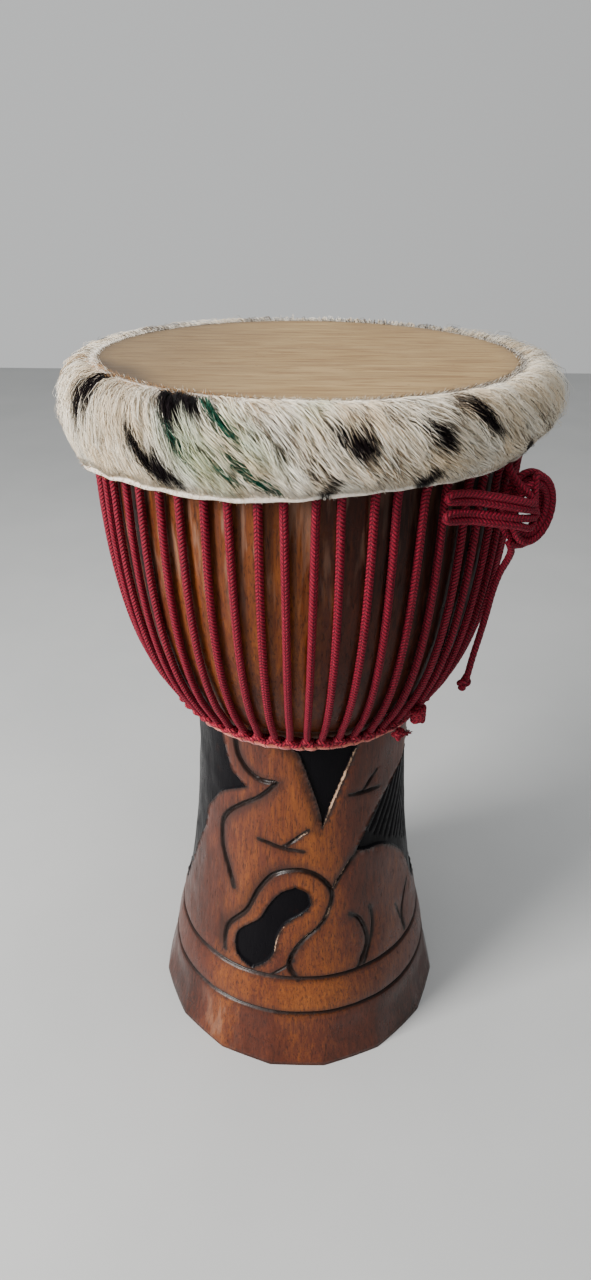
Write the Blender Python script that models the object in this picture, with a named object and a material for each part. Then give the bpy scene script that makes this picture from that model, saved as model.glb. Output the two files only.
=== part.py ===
"""Carved West African goblet drum, a djembe, in metres with +Z up and its front towards -Y.

The drum stands on its foot with the centre of the foot's underside at the origin.
Angles round the drum are degrees from the front, positive towards +X.
"""
import math

import bmesh
import bpy
from mathutils import Vector, geometry

# Clearance between pieces that touch
FIT = 0.0003

# Overall sizes of the wooden shell
TOTAL_HEIGHT = 0.600
FOOT_RADIUS = 0.1355
WAIST_RADIUS = 0.0925
WAIST_HEIGHT = 0.338
RIM_RADIUS = 0.1512
BOWL_WALL = 0.0150
STEM_WALL = 0.0190
THROAT_HEIGHT = 0.030
BEARING_EDGE_DROP = 0.0085

# Shape exponents of the two outlines: the stem flares, the bowl rounds over quickly
STEM_FLARE = 2.2
BOWL_ROUND = 3.0
BOWL_SHOULDER = 0.625

# Skin
SKIN = 0.0015
COLLAR_SLACK = 0.0019
COLLAR_DEPTH = 0.055
COLLAR_EDGE_TILT = 0.0095
COLLAR_EDGE_TILT_TOWARDS = 75.0
COLLAR_RIPPLE = 0.0013
COLLAR_RIPPLES = 7
BAND_DEPTH = 0.032
HEAD_EDGE_INSET = 0.0030
HEAD_UNDER_DROP = 0.0060
FOLD_DROP = 0.0055
SHOULDER_INSET = 0.0075
SHOULDER_DROP = 0.0030
BULGE_INSET = 0.0015
BULGE_DROP = 0.0120
BULGE_UNDER_DROP = 0.0125
BULGE_MIDDLE_DROP = 0.0280

# Steel rings
HEAD_RING_ROD = 0.0030
WAIST_RING_ROD = 0.0035
CROWN_RING_ROOM = 0.0055
WAIST_RING_SLACK = 0.0007

# Rope
ROPE = 0.00275
LOOP_ROPE = 0.0025
LOOPS = 28
TOP_PAIR_SPREAD = 2.8
FREE_ROPE = 0.0025
WAIST_CRADLE_LIFT = 0.0010
LEG_FOOT_OUTWARD = 0.0045
LEG_SLACK = 0.0002
LEG_TOP_ROOM = 0.0055
LEG_TOP_RUN = 0.010

# Rows of points on the stem and on the bowl, as they are drawn. The last stem row is the waist, and the
# last bowl row is the shoulder of the rim, above the waist. All of them stretch with the real shell.
STEM_ROWS = (0.0, 0.030, 0.070, 0.112, 0.150, 0.190, 0.230, 0.270, 0.308, 0.338)
BORE_ROWS = (0.190, 0.080, 0.0)
BOWL_ROWS = (0.008, 0.026, 0.058, 0.108, 0.182, 0.2517)
INNER_BOWL_ROWS = (0.132, 0.072, 0.037)

# Foot: two cut rings, and flats left by the adze
LOWER_RING_HEIGHT = 0.052
UPPER_RING_HEIGHT = 0.088
RING_WAVE = 0.0020
FLATS_BELOW_RING = 0.0060
FLATS_FADE = 0.0150
FOOT_FLATS = 16
FOOT_FLAT_TURN = -11.0
FOOT_FLAT_STRENGTH = 0.75

# Carving
FIELD_DEPTH = 0.0028
FIELD_SLOPE = 0.0022
CUT_DEPTH = 0.0024
CUT_HALF_WIDTH = 0.0021
CARVING_GAP = 0.013
CARVING_TOP = STEM_ROWS[-1] - CARVING_GAP
CARVING_RADIUS = 0.100
LONGEST_EDGE = 0.0200
GRID_CLEARANCE = 0.0030

COLUMNS = 48


def stem_radius(height):
    """Outer radius of the stem and foot."""
    share = 1.0 - height / WAIST_HEIGHT
    return WAIST_RADIUS + (FOOT_RADIUS - WAIST_RADIUS) * max(share, 0.0) ** STEM_FLARE


def rim_height():
    """Top of the wooden rim, just under the skin."""
    return TOTAL_HEIGHT - SKIN - FIT


def bowl_radius(height):
    """Outer radius of the bowl, from the waist up to the rim."""
    top = rim_height() - BEARING_EDGE_DROP
    share = min(max((height - WAIST_HEIGHT) / (top - WAIST_HEIGHT), 0.0), 1.0)
    rounding = (1.0 - (1.0 - share) ** BOWL_ROUND) ** BOWL_SHOULDER
    return WAIST_RADIUS + (RIM_RADIUS - WAIST_RADIUS) * rounding


def bowl_slope(height):
    """How fast the bowl widens with height."""
    step = 0.002
    return (bowl_radius(height + step) - bowl_radius(height - step)) / (2.0 * step)


def stem_height(drawn):
    """Height on the real stem of a height on the drawn one."""
    return drawn * WAIST_HEIGHT / STEM_ROWS[-1]


def bowl_height(drawn):
    """Height on the real drum of a height above the waist of the drawn bowl."""
    real = rim_height() - BEARING_EDGE_DROP - WAIST_HEIGHT
    return WAIST_HEIGHT + drawn * real / BOWL_ROWS[-1]


def place(angle, radius, height):
    """Point at an angle in degrees from the front."""
    turn = math.radians(angle)
    return Vector((radius * math.sin(turn), -radius * math.cos(turn), height))


# Carving on the stem. Each place is an angle from the front in degrees and a height on the drawn stem.

LEFT_FIELD = (
    (-47, CARVING_TOP), (-40, 0.291), (-30, 0.277), (-45, 0.260), (-57, 0.234), (-64, 0.192), (-85, 0.105),
    (-108, 0.118), (-122, 0.170), (-130, 0.250), (-124, CARVING_TOP),
)
RIGHT_FIELD = (
    (74, CARVING_TOP), (69, 0.283), (52, 0.264), (38, 0.241), (29, 0.213), (44, 0.206), (57, 0.192),
    (69, 0.163), (84, 0.116), (108, 0.124), (122, 0.180), (128, 0.260), (120, CARVING_TOP),
)
BROW_FIELD = ((-11, CARVING_TOP), (-1, 0.314), (4, 0.288), (10, 0.244), (18, 0.283), (27, CARVING_TOP))
TRUNK_FIELD = (
    (-32, 0.112), (-31, 0.126), (-20, 0.146), (-14, 0.171), (-6, 0.183), (3, 0.179), (5, 0.165),
    (-6, 0.146), (-12, 0.122), (-16, 0.101), (-25, 0.093),
)
FIELDS = (LEFT_FIELD, RIGHT_FIELD, BROW_FIELD, TRUNK_FIELD)

EAR_CUT = (
    (-36, 0.320), (-35, 0.304), (-29, 0.292), (-13, 0.286), (-24, 0.267), (-39, 0.246), (-45, 0.226),
    (-42, 0.198), (-35, 0.170),
)
TRUNK_CUT = (
    (-38, 0.102), (-36, 0.128), (-27, 0.150), (-20, 0.180), (-12, 0.196), (-1, 0.201), (9, 0.193),
    (15, 0.175), (12, 0.152), (2, 0.131), (-3, 0.116), (-1, 0.093),
)
CHIN_CUT = ((15, 0.181), (22, 0.198), (29, 0.211))
LEFT_EYE_CUT = ((-22, 0.228), (-10, 0.224), (1, 0.221))
LEFT_LID_CUT = ((-8, 0.227), (-2, 0.234), (3, 0.242))
RIGHT_EYE_CUT = ((25, 0.271), (41, 0.268))
RIGHT_LID_CUT = ((32, 0.271), (39, 0.284))
NEAR_TOE_CUT = ((24, 0.150), (31, 0.134), (33, 0.116), (29, 0.096))
MIDDLE_TOE_CUT = ((35, 0.149), (36, 0.130), (34, 0.110))
FAR_TOE_CUT = ((67, 0.140), (60, 0.124), (58, 0.100))
BACK_LEFT_CUT = ((-150, 0.300), (-142, 0.250), (-150, 0.200), (-146, 0.150), (-132, 0.110))
BACK_RIGHT_CUT = ((150, 0.300), (140, 0.255), (150, 0.210), (147, 0.160), (134, 0.112))
CUTS = (
    EAR_CUT, TRUNK_CUT, CHIN_CUT, LEFT_EYE_CUT, LEFT_LID_CUT, RIGHT_EYE_CUT, RIGHT_LID_CUT,
    NEAR_TOE_CUT, MIDDLE_TOE_CUT, FAR_TOE_CUT, BACK_LEFT_CUT, BACK_RIGHT_CUT,
)

# Slanting furrows across the right field: where the first runs, and the step to the next
FURROWS = 6
FURROW_TOP = (80.0, 0.300)
FURROW_FOOT = (50.0, 0.222)
FURROW_STEP = 9.0
FURROW_DROP = 0.010


def furrows():
    """Parallel cuts that lean with the edge of the right field."""
    lines = []
    for index in range(FURROWS):
        top = (FURROW_TOP[0] + FURROW_STEP * 0.65 * index, FURROW_TOP[1] - FURROW_DROP * 0.6 * index)
        foot = (FURROW_FOOT[0] + FURROW_STEP * index, FURROW_FOOT[1] - FURROW_DROP * index)
        lines.append((top, foot))
    return lines


def ring_cut(height):
    """A slightly wavy cut all round the foot."""
    places = []
    for index in range(17):
        angle = -180.0 + 22.5 * index
        wave = RING_WAVE * math.cos(math.radians(2.0 * angle))
        places.append((angle, height + wave))
    return tuple(places)


def flat(place_on_stem):
    """Position in the flat layout of the stem, where widths are true near the carving radius."""
    angle, height = place_on_stem
    return Vector((math.radians(angle) * CARVING_RADIUS, stem_height(height)))


def distance_to_line(point, line):
    """Shortest distance in the flat layout from a point to a broken line."""
    best = 1.0
    for start, end in zip(line, line[1:]):
        run = end - start
        share = min(max((point - start).dot(run) / run.length_squared, 0.0), 1.0)
        best = min(best, (start + run * share - point).length)
    return best


def inside(point, outline):
    """Whether a point of the flat layout lies inside an outline."""
    odd = False
    for start, end in zip(outline, outline[1:] + outline[:1]):
        if (start.y > point.y) != (end.y > point.y):
            crossing = start.x + (point.y - start.y) * (end.x - start.x) / (end.y - start.y)
            if point.x < crossing:
                odd = not odd
    return odd


def refine(line):
    """The same line with points added, so that no edge cuts across the round of the stem."""
    points = [line[0]]
    for start, end in zip(line, line[1:]):
        steps = math.ceil(abs(end.x - start.x) / LONGEST_EDGE) or 1
        points.extend(start + (end - start) * (step + 1) / steps for step in range(steps))
    return points


def refine_outline(outline):
    """The same for a closed outline."""
    return refine(outline + outline[:1])[:-1]


FLAT_FIELDS = [refine_outline([flat(spot) for spot in outline]) for outline in FIELDS]
FLAT_CUTS = [refine([flat(spot) for spot in line]) for line in CUTS + tuple(furrows())]
FLAT_RINGS = [[flat(spot) for spot in ring_cut(height)] for height in (LOWER_RING_HEIGHT, UPPER_RING_HEIGHT)]


def carving_depth(point):
    """How far the carving sinks below the turned surface at a point of the flat layout."""
    field_depth = 0.0
    for outline in FLAT_FIELDS:
        if inside(point, outline):
            edge = distance_to_line(point, outline + outline[:1])
            field_depth = max(field_depth, FIELD_DEPTH * min(edge / FIELD_SLOPE, 1.0))
    cut_depth = 0.0
    for line in FLAT_CUTS + FLAT_RINGS:
        edge = distance_to_line(point, line)
        cut_depth = max(cut_depth, CUT_DEPTH * (1.0 - min(edge / CUT_HALF_WIDTH, 1.0)))
    return field_depth + cut_depth


def foot_flat(angle, height):
    """How far the adze flats of the foot lie inside the round."""
    pitch = 360.0 / FOOT_FLATS
    across = (angle - FOOT_FLAT_TURN) % pitch - pitch / 2.0
    inset = 1.0 - math.cos(math.radians(pitch / 2.0)) / math.cos(math.radians(across))
    fade = min(max((stem_height(LOWER_RING_HEIGHT) - FLATS_BELOW_RING - height) / FLATS_FADE, 0.0), 1.0)
    return FOOT_RADIUS * inset * fade * FOOT_FLAT_STRENGTH


def stem_place(point):
    """Folds a point of the flat layout round the stem, sunk by its carving."""
    angle = math.degrees(point.x / CARVING_RADIUS)
    radius = stem_radius(point.y) - foot_flat(angle, point.y) - carving_depth(point)
    return place(angle, radius, point.y)


def offset_line(line, distance):
    """The same broken line moved sideways, with its two ends kept."""
    moved = [line[0].copy()]
    for before, here, after in zip(line, line[1:], line[2:]):
        run = ((here - before).normalized() + (after - here).normalized()).normalized()
        moved.append(here + Vector((-run.y, run.x)) * distance)
    moved.append(line[-1].copy())
    return moved


def inset_outline(outline, distance):
    """A closed outline moved towards its inside."""
    moved = []
    for index, here in enumerate(outline):
        before = outline[index - 1]
        after = outline[(index + 1) % len(outline)]
        run = ((here - before).normalized() + (after - here).normalized()).normalized()
        side = Vector((-run.y, run.x)) * distance
        moved.append(here + side if inside(here + side * 0.2, outline) else here - side)
    return moved


def new_material(name, colour, roughness, metallic=0.0):
    """One Principled material in plain values."""
    material = bpy.data.materials.new(name)
    material.use_nodes = True
    shader = material.node_tree.nodes["Principled BSDF"]
    shader.inputs["Base Color"].default_value = (*colour, 1.0)
    shader.inputs["Roughness"].default_value = roughness
    shader.inputs["Metallic"].default_value = metallic
    material.diffuse_color = (*colour, 1.0)
    return material


def finish(name, mesh, material):
    """Makes one named object from a closed bmesh, with its faces turned outwards."""
    bmesh.ops.remove_doubles(mesh, verts=mesh.verts, dist=0.00002)
    bmesh.ops.triangulate(mesh, faces=mesh.faces)
    bmesh.ops.recalc_face_normals(mesh, faces=mesh.faces)
    data = bpy.data.meshes.new(name)
    mesh.to_mesh(data)
    mesh.free()
    data.materials.append(material)
    part = bpy.data.objects.new(name, data)
    bpy.context.scene.collection.objects.link(part)
    return part


def circle(mesh, radius, height, columns=COLUMNS):
    """One level ring of points."""
    return [mesh.verts.new(place(360.0 * index / columns - 180.0, radius, height)) for index in range(columns)]


def join_rings(mesh, lower, upper):
    """A band of faces between two rings of as many points."""
    count = len(lower)
    for index in range(count):
        following = (index + 1) % count
        mesh.faces.new((lower[index], lower[following], upper[following], upper[index]))


def spin_section(mesh, section, columns=COLUMNS):
    """A closed section of radius and height turned once round the drum."""
    rings = [circle(mesh, radius, height, columns) for radius, height in section]
    for ring, following in zip(rings, rings[1:] + rings[:1]):
        join_rings(mesh, ring, following)


def carved_stem(mesh):
    """The outer surface of stem and foot, cut out of a flat layout, and its lowest and highest ring."""
    rows = [stem_height(drawn) for drawn in STEM_ROWS]
    half = math.pi * CARVING_RADIUS
    lines = [(line, False) for line in FLAT_CUTS + FLAT_RINGS]
    for line in FLAT_CUTS + FLAT_RINGS:
        ring = line in FLAT_RINGS
        for side in (CUT_HALF_WIDTH, -CUT_HALF_WIDTH):
            beside = offset_line(line, side)
            if ring:
                beside[0].y += side
                beside[-1].y += side
            lines.append((beside, False))
    for outline in FLAT_FIELDS:
        lines.append((outline, True))
        lines.append((inset_outline(outline, FIELD_SLOPE), True))
    points = []
    edges = []
    for line, closed in lines:
        first = len(points)
        points.extend(line)
        edges.extend((first + index, first + index + 1) for index in range(len(line) - 1))
        if closed:
            edges.append((first + len(line) - 1, first))
    drawn = [line + line[:1] if closed else line for line, closed in lines]
    for row in rows:
        for column in range(COLUMNS + 1):
            spot = Vector((half * (2.0 * column / COLUMNS - 1.0), row))
            border = row in (rows[0], rows[-1]) or column in (0, COLUMNS)
            if border or min(distance_to_line(spot, line) for line in drawn) > GRID_CLEARANCE:
                points.append(spot)
    laid = geometry.delaunay_2d_cdt(points, edges, [], 0, 0.00005, False)
    flat_points = laid[0]
    verts = [mesh.verts.new(stem_place(point)) for point in flat_points]
    for face in laid[2]:
        mesh.faces.new([verts[index] for index in face])
    foot = sorted((p.x, index) for index, p in enumerate(flat_points) if p.y < 0.00001)
    waist = sorted((p.x, index) for index, p in enumerate(flat_points) if p.y > WAIST_HEIGHT - 0.00001)
    return [verts[index] for _, index in foot[:-1]], [verts[index] for _, index in waist[:-1]]


def bearing_section():
    """Radius and height over the rounded rim, from outside to inside."""
    top = rim_height()
    inner = RIM_RADIUS - BOWL_WALL
    return (
        (RIM_RADIUS, top - BEARING_EDGE_DROP),
        (RIM_RADIUS - 0.0010, top - 0.0030),
        (RIM_RADIUS - 0.0040, top),
        (inner + 0.0030, top - 0.0030),
        (inner, top - 0.0140),
    )


def inner_section():
    """Radius and height down the inside, bowl first, then throat and flaring bore."""
    throat = WAIST_RADIUS - STEM_WALL
    levels = []
    for height in map(bowl_height, INNER_BOWL_ROWS):
        levels.append((bowl_radius(height) - BOWL_WALL * math.hypot(1.0, bowl_slope(height)), height))
    levels.append((throat, WAIST_HEIGHT))
    levels.append((throat, WAIST_HEIGHT - THROAT_HEIGHT))
    for height in map(stem_height, BORE_ROWS):
        levels.append((stem_radius(height) - STEM_WALL, height))
    return levels


def build_shell():
    """The whole wooden goblet, carved outside and hollow right through."""
    mesh = bmesh.new()
    foot, waist = carved_stem(mesh)
    section = [(bowl_radius(height), height) for height in map(bowl_height, BOWL_ROWS[:-1])]
    section.extend(bearing_section())
    section.extend(inner_section())
    lower = waist
    for radius, height in section:
        upper = circle(mesh, radius, height)
        join_rings(mesh, lower, upper)
        lower = upper
    join_rings(mesh, lower, foot)
    bmesh.ops.remove_doubles(mesh, verts=mesh.verts, dist=0.00002)
    return finish("shell", mesh, new_material("carved_wood", (0.30, 0.115, 0.045), 0.38))


def collar_edge(angle):
    """Height of the skin's cut lower edge, which hangs lower on one side and ripples."""
    tilt = COLLAR_EDGE_TILT * math.cos(math.radians(angle - COLLAR_EDGE_TILT_TOWARDS))
    ripple = COLLAR_RIPPLE * math.sin(math.radians(COLLAR_RIPPLES * angle))
    return TOTAL_HEIGHT - COLLAR_DEPTH + tilt + ripple


def head_ring_radius():
    """Radius of the middle of both rings at the head."""
    return RIM_RADIUS + 2.0 * FIT + SKIN + HEAD_RING_ROD


def collar_radius():
    """Outside of the collar, which clears the rings and the rope cradle under it."""
    return top_loops_radius() + LOOP_ROPE + COLLAR_SLACK + SKIN


def build_goatskin():
    """Playing head, band down the shell, lip under the flesh ring and hairy collar, all one skin."""
    top = TOTAL_HEIGHT
    under = top - SKIN
    inner = RIM_RADIUS + FIT
    band_foot = top - BAND_DEPTH
    lip = head_ring_radius() + 0.4 * HEAD_RING_ROD
    outside = collar_radius()
    bulge = outside - BULGE_INSET
    shoulder = outside - SHOULDER_INSET
    head_edge = RIM_RADIUS - HEAD_EDGE_INSET
    columns = COLUMNS
    mesh = bmesh.new()

    def ring(radius, height):
        return circle(mesh, radius, height, columns)

    def edge_ring(radius):
        spots = []
        for index in range(columns):
            angle = 360.0 * index / columns - 180.0
            spots.append(mesh.verts.new(place(angle, radius, collar_edge(angle))))
        return spots

    rings = [
        ring(head_edge, top),
        ring(shoulder, top - SHOULDER_DROP),
        ring(bulge, top - BULGE_DROP),
        ring(outside, top - BULGE_MIDDLE_DROP),
        edge_ring(bulge),
        edge_ring(bulge - SKIN),
        ring(outside - SKIN, top - BULGE_MIDDLE_DROP),
        ring(bulge - SKIN, top - BULGE_UNDER_DROP),
        ring(shoulder - SKIN, top - SHOULDER_DROP - SKIN),
        ring(inner + SKIN, top - FOLD_DROP),
        ring(inner + SKIN, band_foot + SKIN),
        ring(lip, band_foot + SKIN),
        ring(lip, band_foot),
        ring(inner, band_foot),
        ring(inner, top - HEAD_UNDER_DROP),
        ring(head_edge, under),
    ]
    for lower, upper in zip(rings, rings[1:]):
        join_rings(mesh, lower, upper)
    for rim, height in ((rings[0], top), (rings[-1], under)):
        centre = mesh.verts.new((0.0, 0.0, height))
        for index in range(columns):
            mesh.faces.new((rim[index], rim[(index + 1) % columns], centre))
    return finish("goatskin", mesh, new_material("hair_on_goatskin", (0.78, 0.70, 0.56), 0.85))


def build_ring(name, radius, height, rod, material, columns=34, sides=4):
    """A round rod bent into a level ring."""
    mesh = bmesh.new()
    section = []
    for index in range(sides):
        turn = 2.0 * math.pi * (index + 0.5) / sides
        section.append((radius + rod * math.cos(turn), height + rod * math.sin(turn)))
    spin_section(mesh, section, columns)
    return finish(name, mesh, material)


def crown_height():
    """Middle of the upper ring at the head."""
    return TOTAL_HEIGHT - FOLD_DROP - FIT - HEAD_RING_ROD - CROWN_RING_ROOM


def flesh_height():
    """Middle of the lower ring at the head, which the skin's lip holds."""
    return TOTAL_HEIGHT - BAND_DEPTH + SKIN + FIT + HEAD_RING_ROD


def top_loops_radius():
    """Middle of the rope cradle outside the crown ring."""
    return head_ring_radius() + HEAD_RING_ROD + FIT + LOOP_ROPE


def waist_ring_radius():
    """Middle of the ring at the waist."""
    return WAIST_RADIUS + FIT + WAIST_RING_ROD + WAIST_RING_SLACK


def waist_ring_height():
    """Middle of the ring at the waist, tucked up under the bowl."""
    return WAIST_HEIGHT - WAIST_RING_ROD - FIT


def bottom_loops_radius():
    """Middle of the rope cradle outside the waist ring."""
    return waist_ring_radius() + WAIST_RING_ROD + FIT + LOOP_ROPE


def bottom_loops_height():
    """Middle of that cradle, a little above the ring."""
    return waist_ring_height() + WAIST_CRADLE_LIFT


def sweep(mesh, centres, radius, sides=4, closed=False, flatten=1.0):
    """A tube along a list of points, its section kept square to the way it runs."""
    count = len(centres)
    rings = []
    for index, centre in enumerate(centres):
        before = centres[index - 1] if closed or index > 0 else centre
        after = centres[(index + 1) % count] if closed or index < count - 1 else centre
        run = (after - before).normalized()
        outward = Vector((centre.x, centre.y, 0.0)).normalized()
        side = run.cross(outward).normalized()
        lift = side.cross(run).normalized()
        ring = []
        for corner in range(sides):
            turn = 2.0 * math.pi * (corner + 0.5) / sides
            spread = side * math.cos(turn) + lift * math.sin(turn) * flatten
            ring.append(mesh.verts.new(centre + spread * radius))
        rings.append(ring)
    pairs = list(zip(rings, rings[1:] + rings[:1])) if closed else list(zip(rings, rings[1:]))
    for ring, following in pairs:
        join_rings(mesh, ring, following)
    if not closed:
        mesh.faces.new(rings[0])
        mesh.faces.new(rings[-1])


def leg_places(angle_below, angle_above):
    """Middle line of one upright of the lacing, from the waist cradle up to the head."""
    reach = ROPE + FIT + LEG_SLACK
    below = bottom_loops_radius() + LEG_FOOT_OUTWARD
    rest = bottom_loops_height() + math.sqrt((LOOP_ROPE + reach) ** 2 - LEG_FOOT_OUTWARD ** 2)
    above = top_loops_radius()
    places = [place(angle_below, below, rest)]
    for index, height in enumerate(map(bowl_height, BOWL_ROWS[1:-1])):
        share = (index + 1) / len(BOWL_ROWS)
        angle = angle_below + (angle_above - angle_below) * share
        radius = bowl_radius(height) + reach * math.hypot(1.0, bowl_slope(height))
        places.append(place(angle, radius, height))
    top = crown_height() - LOOP_ROPE - FIT - ROPE - LEG_TOP_ROOM
    places.append(place(angle_above, above, top - LEG_TOP_RUN))
    places.append(place(angle_above, above, top))
    return places


def build_lacing():
    """One rope that runs up and down all round the bowl and closes on itself."""
    pitch = 360.0 / LOOPS
    route = []
    for index in range(LOOPS):
        middle = 4.4 + pitch * index
        rising = leg_places(middle - pitch / 4.0, middle - TOP_PAIR_SPREAD)
        falling = leg_places(middle + pitch / 4.0, middle + TOP_PAIR_SPREAD)
        route.extend(rising)
        route.extend(reversed(falling))
    mesh = bmesh.new()
    sweep(mesh, route, ROPE, closed=True)
    return finish("lacing_rope", mesh, new_material("burgundy_rope", (0.23, 0.012, 0.028), 0.7))


# Spare rope at the right: places chosen by hand from the drum's own frame
COIL_CENTRE = Vector((0.1430, -0.1030, 0.5210))
COIL_ACROSS = Vector((0.893, 0.451, 0.0))
COIL_HALF_WIDTH = 0.0155
COIL_HALF_HEIGHT = 0.0215
COIL_BUNDLE = 0.0066
COIL_CORNERS = 15
BIGHTS_ROUTE = (
    (30.8, 0.1655, 0.5350),
    (36.5, 0.1665, 0.5330),
    (42.0, 0.1745, 0.5295),
    (47.5, 0.1815, 0.5250),
    (52.0, 0.1840, 0.5215),
)
BIGHTS_HALF_HEIGHT = 0.0096
BIGHTS_HALF_THICKNESS = 0.0036
TAIL_ROUTE = (
    (0.1360, -0.1045, 0.4935),
    (0.1352, -0.0990, 0.4830),
    (0.1328, -0.0925, 0.4705),
    (0.1310, -0.0865, 0.4525),
    (0.1300, -0.0825, 0.4350),
    (0.1278, -0.0790, 0.4140),
    (0.1250, -0.0780, 0.3960),
    (0.1228, -0.0780, 0.3805),
)
TAIL_KNOT_CENTRE = (0.1208, -0.0778, 0.3732)
TAIL_KNOT_RADIUS = 0.0058
TAIL_KNOT_STRETCH = 1.15

# The tie-off: the knot by the rope cradle at the waist, and the wraps above it, out from the bowl
TIE_KNOT_ANGLE = 39.5
TIE_KNOT_OUTWARD = 0.0112
TIE_KNOT_DROP = 0.0022
TIE_WRAPS_ANGLE = 44.0
TIE_WRAPS_OUTWARD = 0.013491
TIE_WRAPS_RISE = 0.0168
TIE_RADIUS = 0.0062
TIE_KNOT_SQUASH = 0.85
TIE_WRAPS_STRETCH = 1.1


def build_hank(rope):
    """The coil of spare rope and the doubled strands drawn through it, as their outer shapes."""
    centres = []
    for index in range(COIL_CORNERS):
        turn = 2.0 * math.pi * index / COIL_CORNERS
        across = COIL_ACROSS * (COIL_HALF_WIDTH * math.cos(turn))
        centres.append(COIL_CENTRE + across + Vector((0.0, 0.0, COIL_HALF_HEIGHT * math.sin(turn))))
    mesh = bmesh.new()
    sweep(mesh, centres, COIL_BUNDLE, sides=6, closed=True)
    finish("hank_coil", mesh, rope)
    mesh = bmesh.new()
    strands = [place(*spot) for spot in BIGHTS_ROUTE]
    sweep(mesh, strands, BIGHTS_HALF_HEIGHT, sides=8, flatten=BIGHTS_HALF_THICKNESS / BIGHTS_HALF_HEIGHT)
    finish("hank_bights", mesh, rope)


def smooth_route(spots, steps=2):
    """Points along a smooth curve that passes through all the chosen places."""
    knots = [Vector(spot) for spot in spots]
    knots = [knots[0] * 2.0 - knots[1]] + knots + [knots[-1] * 2.0 - knots[-2]]
    route = []
    for before, start, end, after in zip(knots, knots[1:], knots[2:], knots[3:]):
        for step in range(steps):
            share = step / steps
            bend = (end - before) * share + (before * 2.0 - start * 5.0 + end * 4.0 - after) * share ** 2
            bend += (start * 3.0 - before - end * 3.0 + after) * share ** 3
            route.append(start + bend * 0.5)
    route.append(knots[-2])
    return route


def build_tail(rope):
    """The free end that hangs from the coil."""
    route = smooth_route(TAIL_ROUTE)
    curve = bpy.data.curves.new("rope_tail", "CURVE")
    curve.dimensions = "3D"
    curve.bevel_depth = FREE_ROPE
    curve.bevel_resolution = 2
    curve.use_fill_caps = True
    curve.resolution_u = 1
    curve.render_resolution_u = 0
    spline = curve.splines.new("POLY")
    spline.points.add(len(route) - 1)
    for point, spot in zip(spline.points, route):
        point.co = (*spot, 1.0)
    curve.materials.append(rope)
    tail = bpy.data.objects.new("rope_tail", curve)
    bpy.context.scene.collection.objects.link(tail)
    return tail


def build_knot(name, centre, radius, rope, squash=1.0):
    """A small round knot."""
    mesh = bmesh.new()
    bmesh.ops.create_icosphere(mesh, subdivisions=1, radius=radius)
    for vert in mesh.verts:
        vert.co.z *= squash
        vert.co += Vector(centre)
    return finish(name, mesh, rope)


def tie_off_places():
    """Middle of the knot that ends the cradle rope, and of the wraps above it."""
    radius = bottom_loops_radius() + TIE_KNOT_OUTWARD
    knot = place(TIE_KNOT_ANGLE, radius, bottom_loops_height() - TIE_KNOT_DROP)
    height = bottom_loops_height() + TIE_WRAPS_RISE
    wraps = place(TIE_WRAPS_ANGLE, bowl_radius(height) + TIE_WRAPS_OUTWARD, height)
    return knot, wraps


def clear_scene():
    """Removes what the new file holds."""
    for item in list(bpy.data.objects):
        bpy.data.objects.remove(item, do_unlink=True)


def main():
    clear_scene()
    steel = new_material("ring_steel", (0.30, 0.28, 0.27), 0.45, 1.0)
    cloth = new_material("ring_cloth", (0.55, 0.12, 0.09), 0.9)
    rope = new_material("spare_rope", (0.25, 0.012, 0.030), 0.7)
    build_shell()
    build_goatskin()
    build_ring("crown_ring", head_ring_radius(), crown_height(), HEAD_RING_ROD, steel)
    build_ring("flesh_ring", head_ring_radius(), flesh_height(), HEAD_RING_ROD, steel)
    build_ring("bottom_ring", waist_ring_radius(), waist_ring_height(), WAIST_RING_ROD, cloth)
    build_ring("top_loops", top_loops_radius(), crown_height(), LOOP_ROPE, rope)
    build_ring("bottom_loops", bottom_loops_radius(), bottom_loops_height(), LOOP_ROPE, rope)
    build_lacing()
    build_hank(rope)
    build_tail(rope)
    build_knot("tail_knot", TAIL_KNOT_CENTRE, TAIL_KNOT_RADIUS, rope, TAIL_KNOT_STRETCH)
    knot, wraps = tie_off_places()
    build_knot("tie_off_knot", knot, TIE_RADIUS, rope, TIE_KNOT_SQUASH)
    build_knot("tie_off_wraps", wraps, TIE_RADIUS, rope, TIE_WRAPS_STRETCH)


main()
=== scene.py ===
"""Looks of a carved goblet drum: varnished wood, hair-on goatskin, braided lacing and spare rope.

Metres, +Z up, the drum's front towards -Y. Angles are degrees round the drum from the front,
positive towards +X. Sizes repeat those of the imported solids.
"""
import math

import bmesh
import bpy
import numpy as np
from mathutils import Matrix, Vector, geometry, noise


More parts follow.
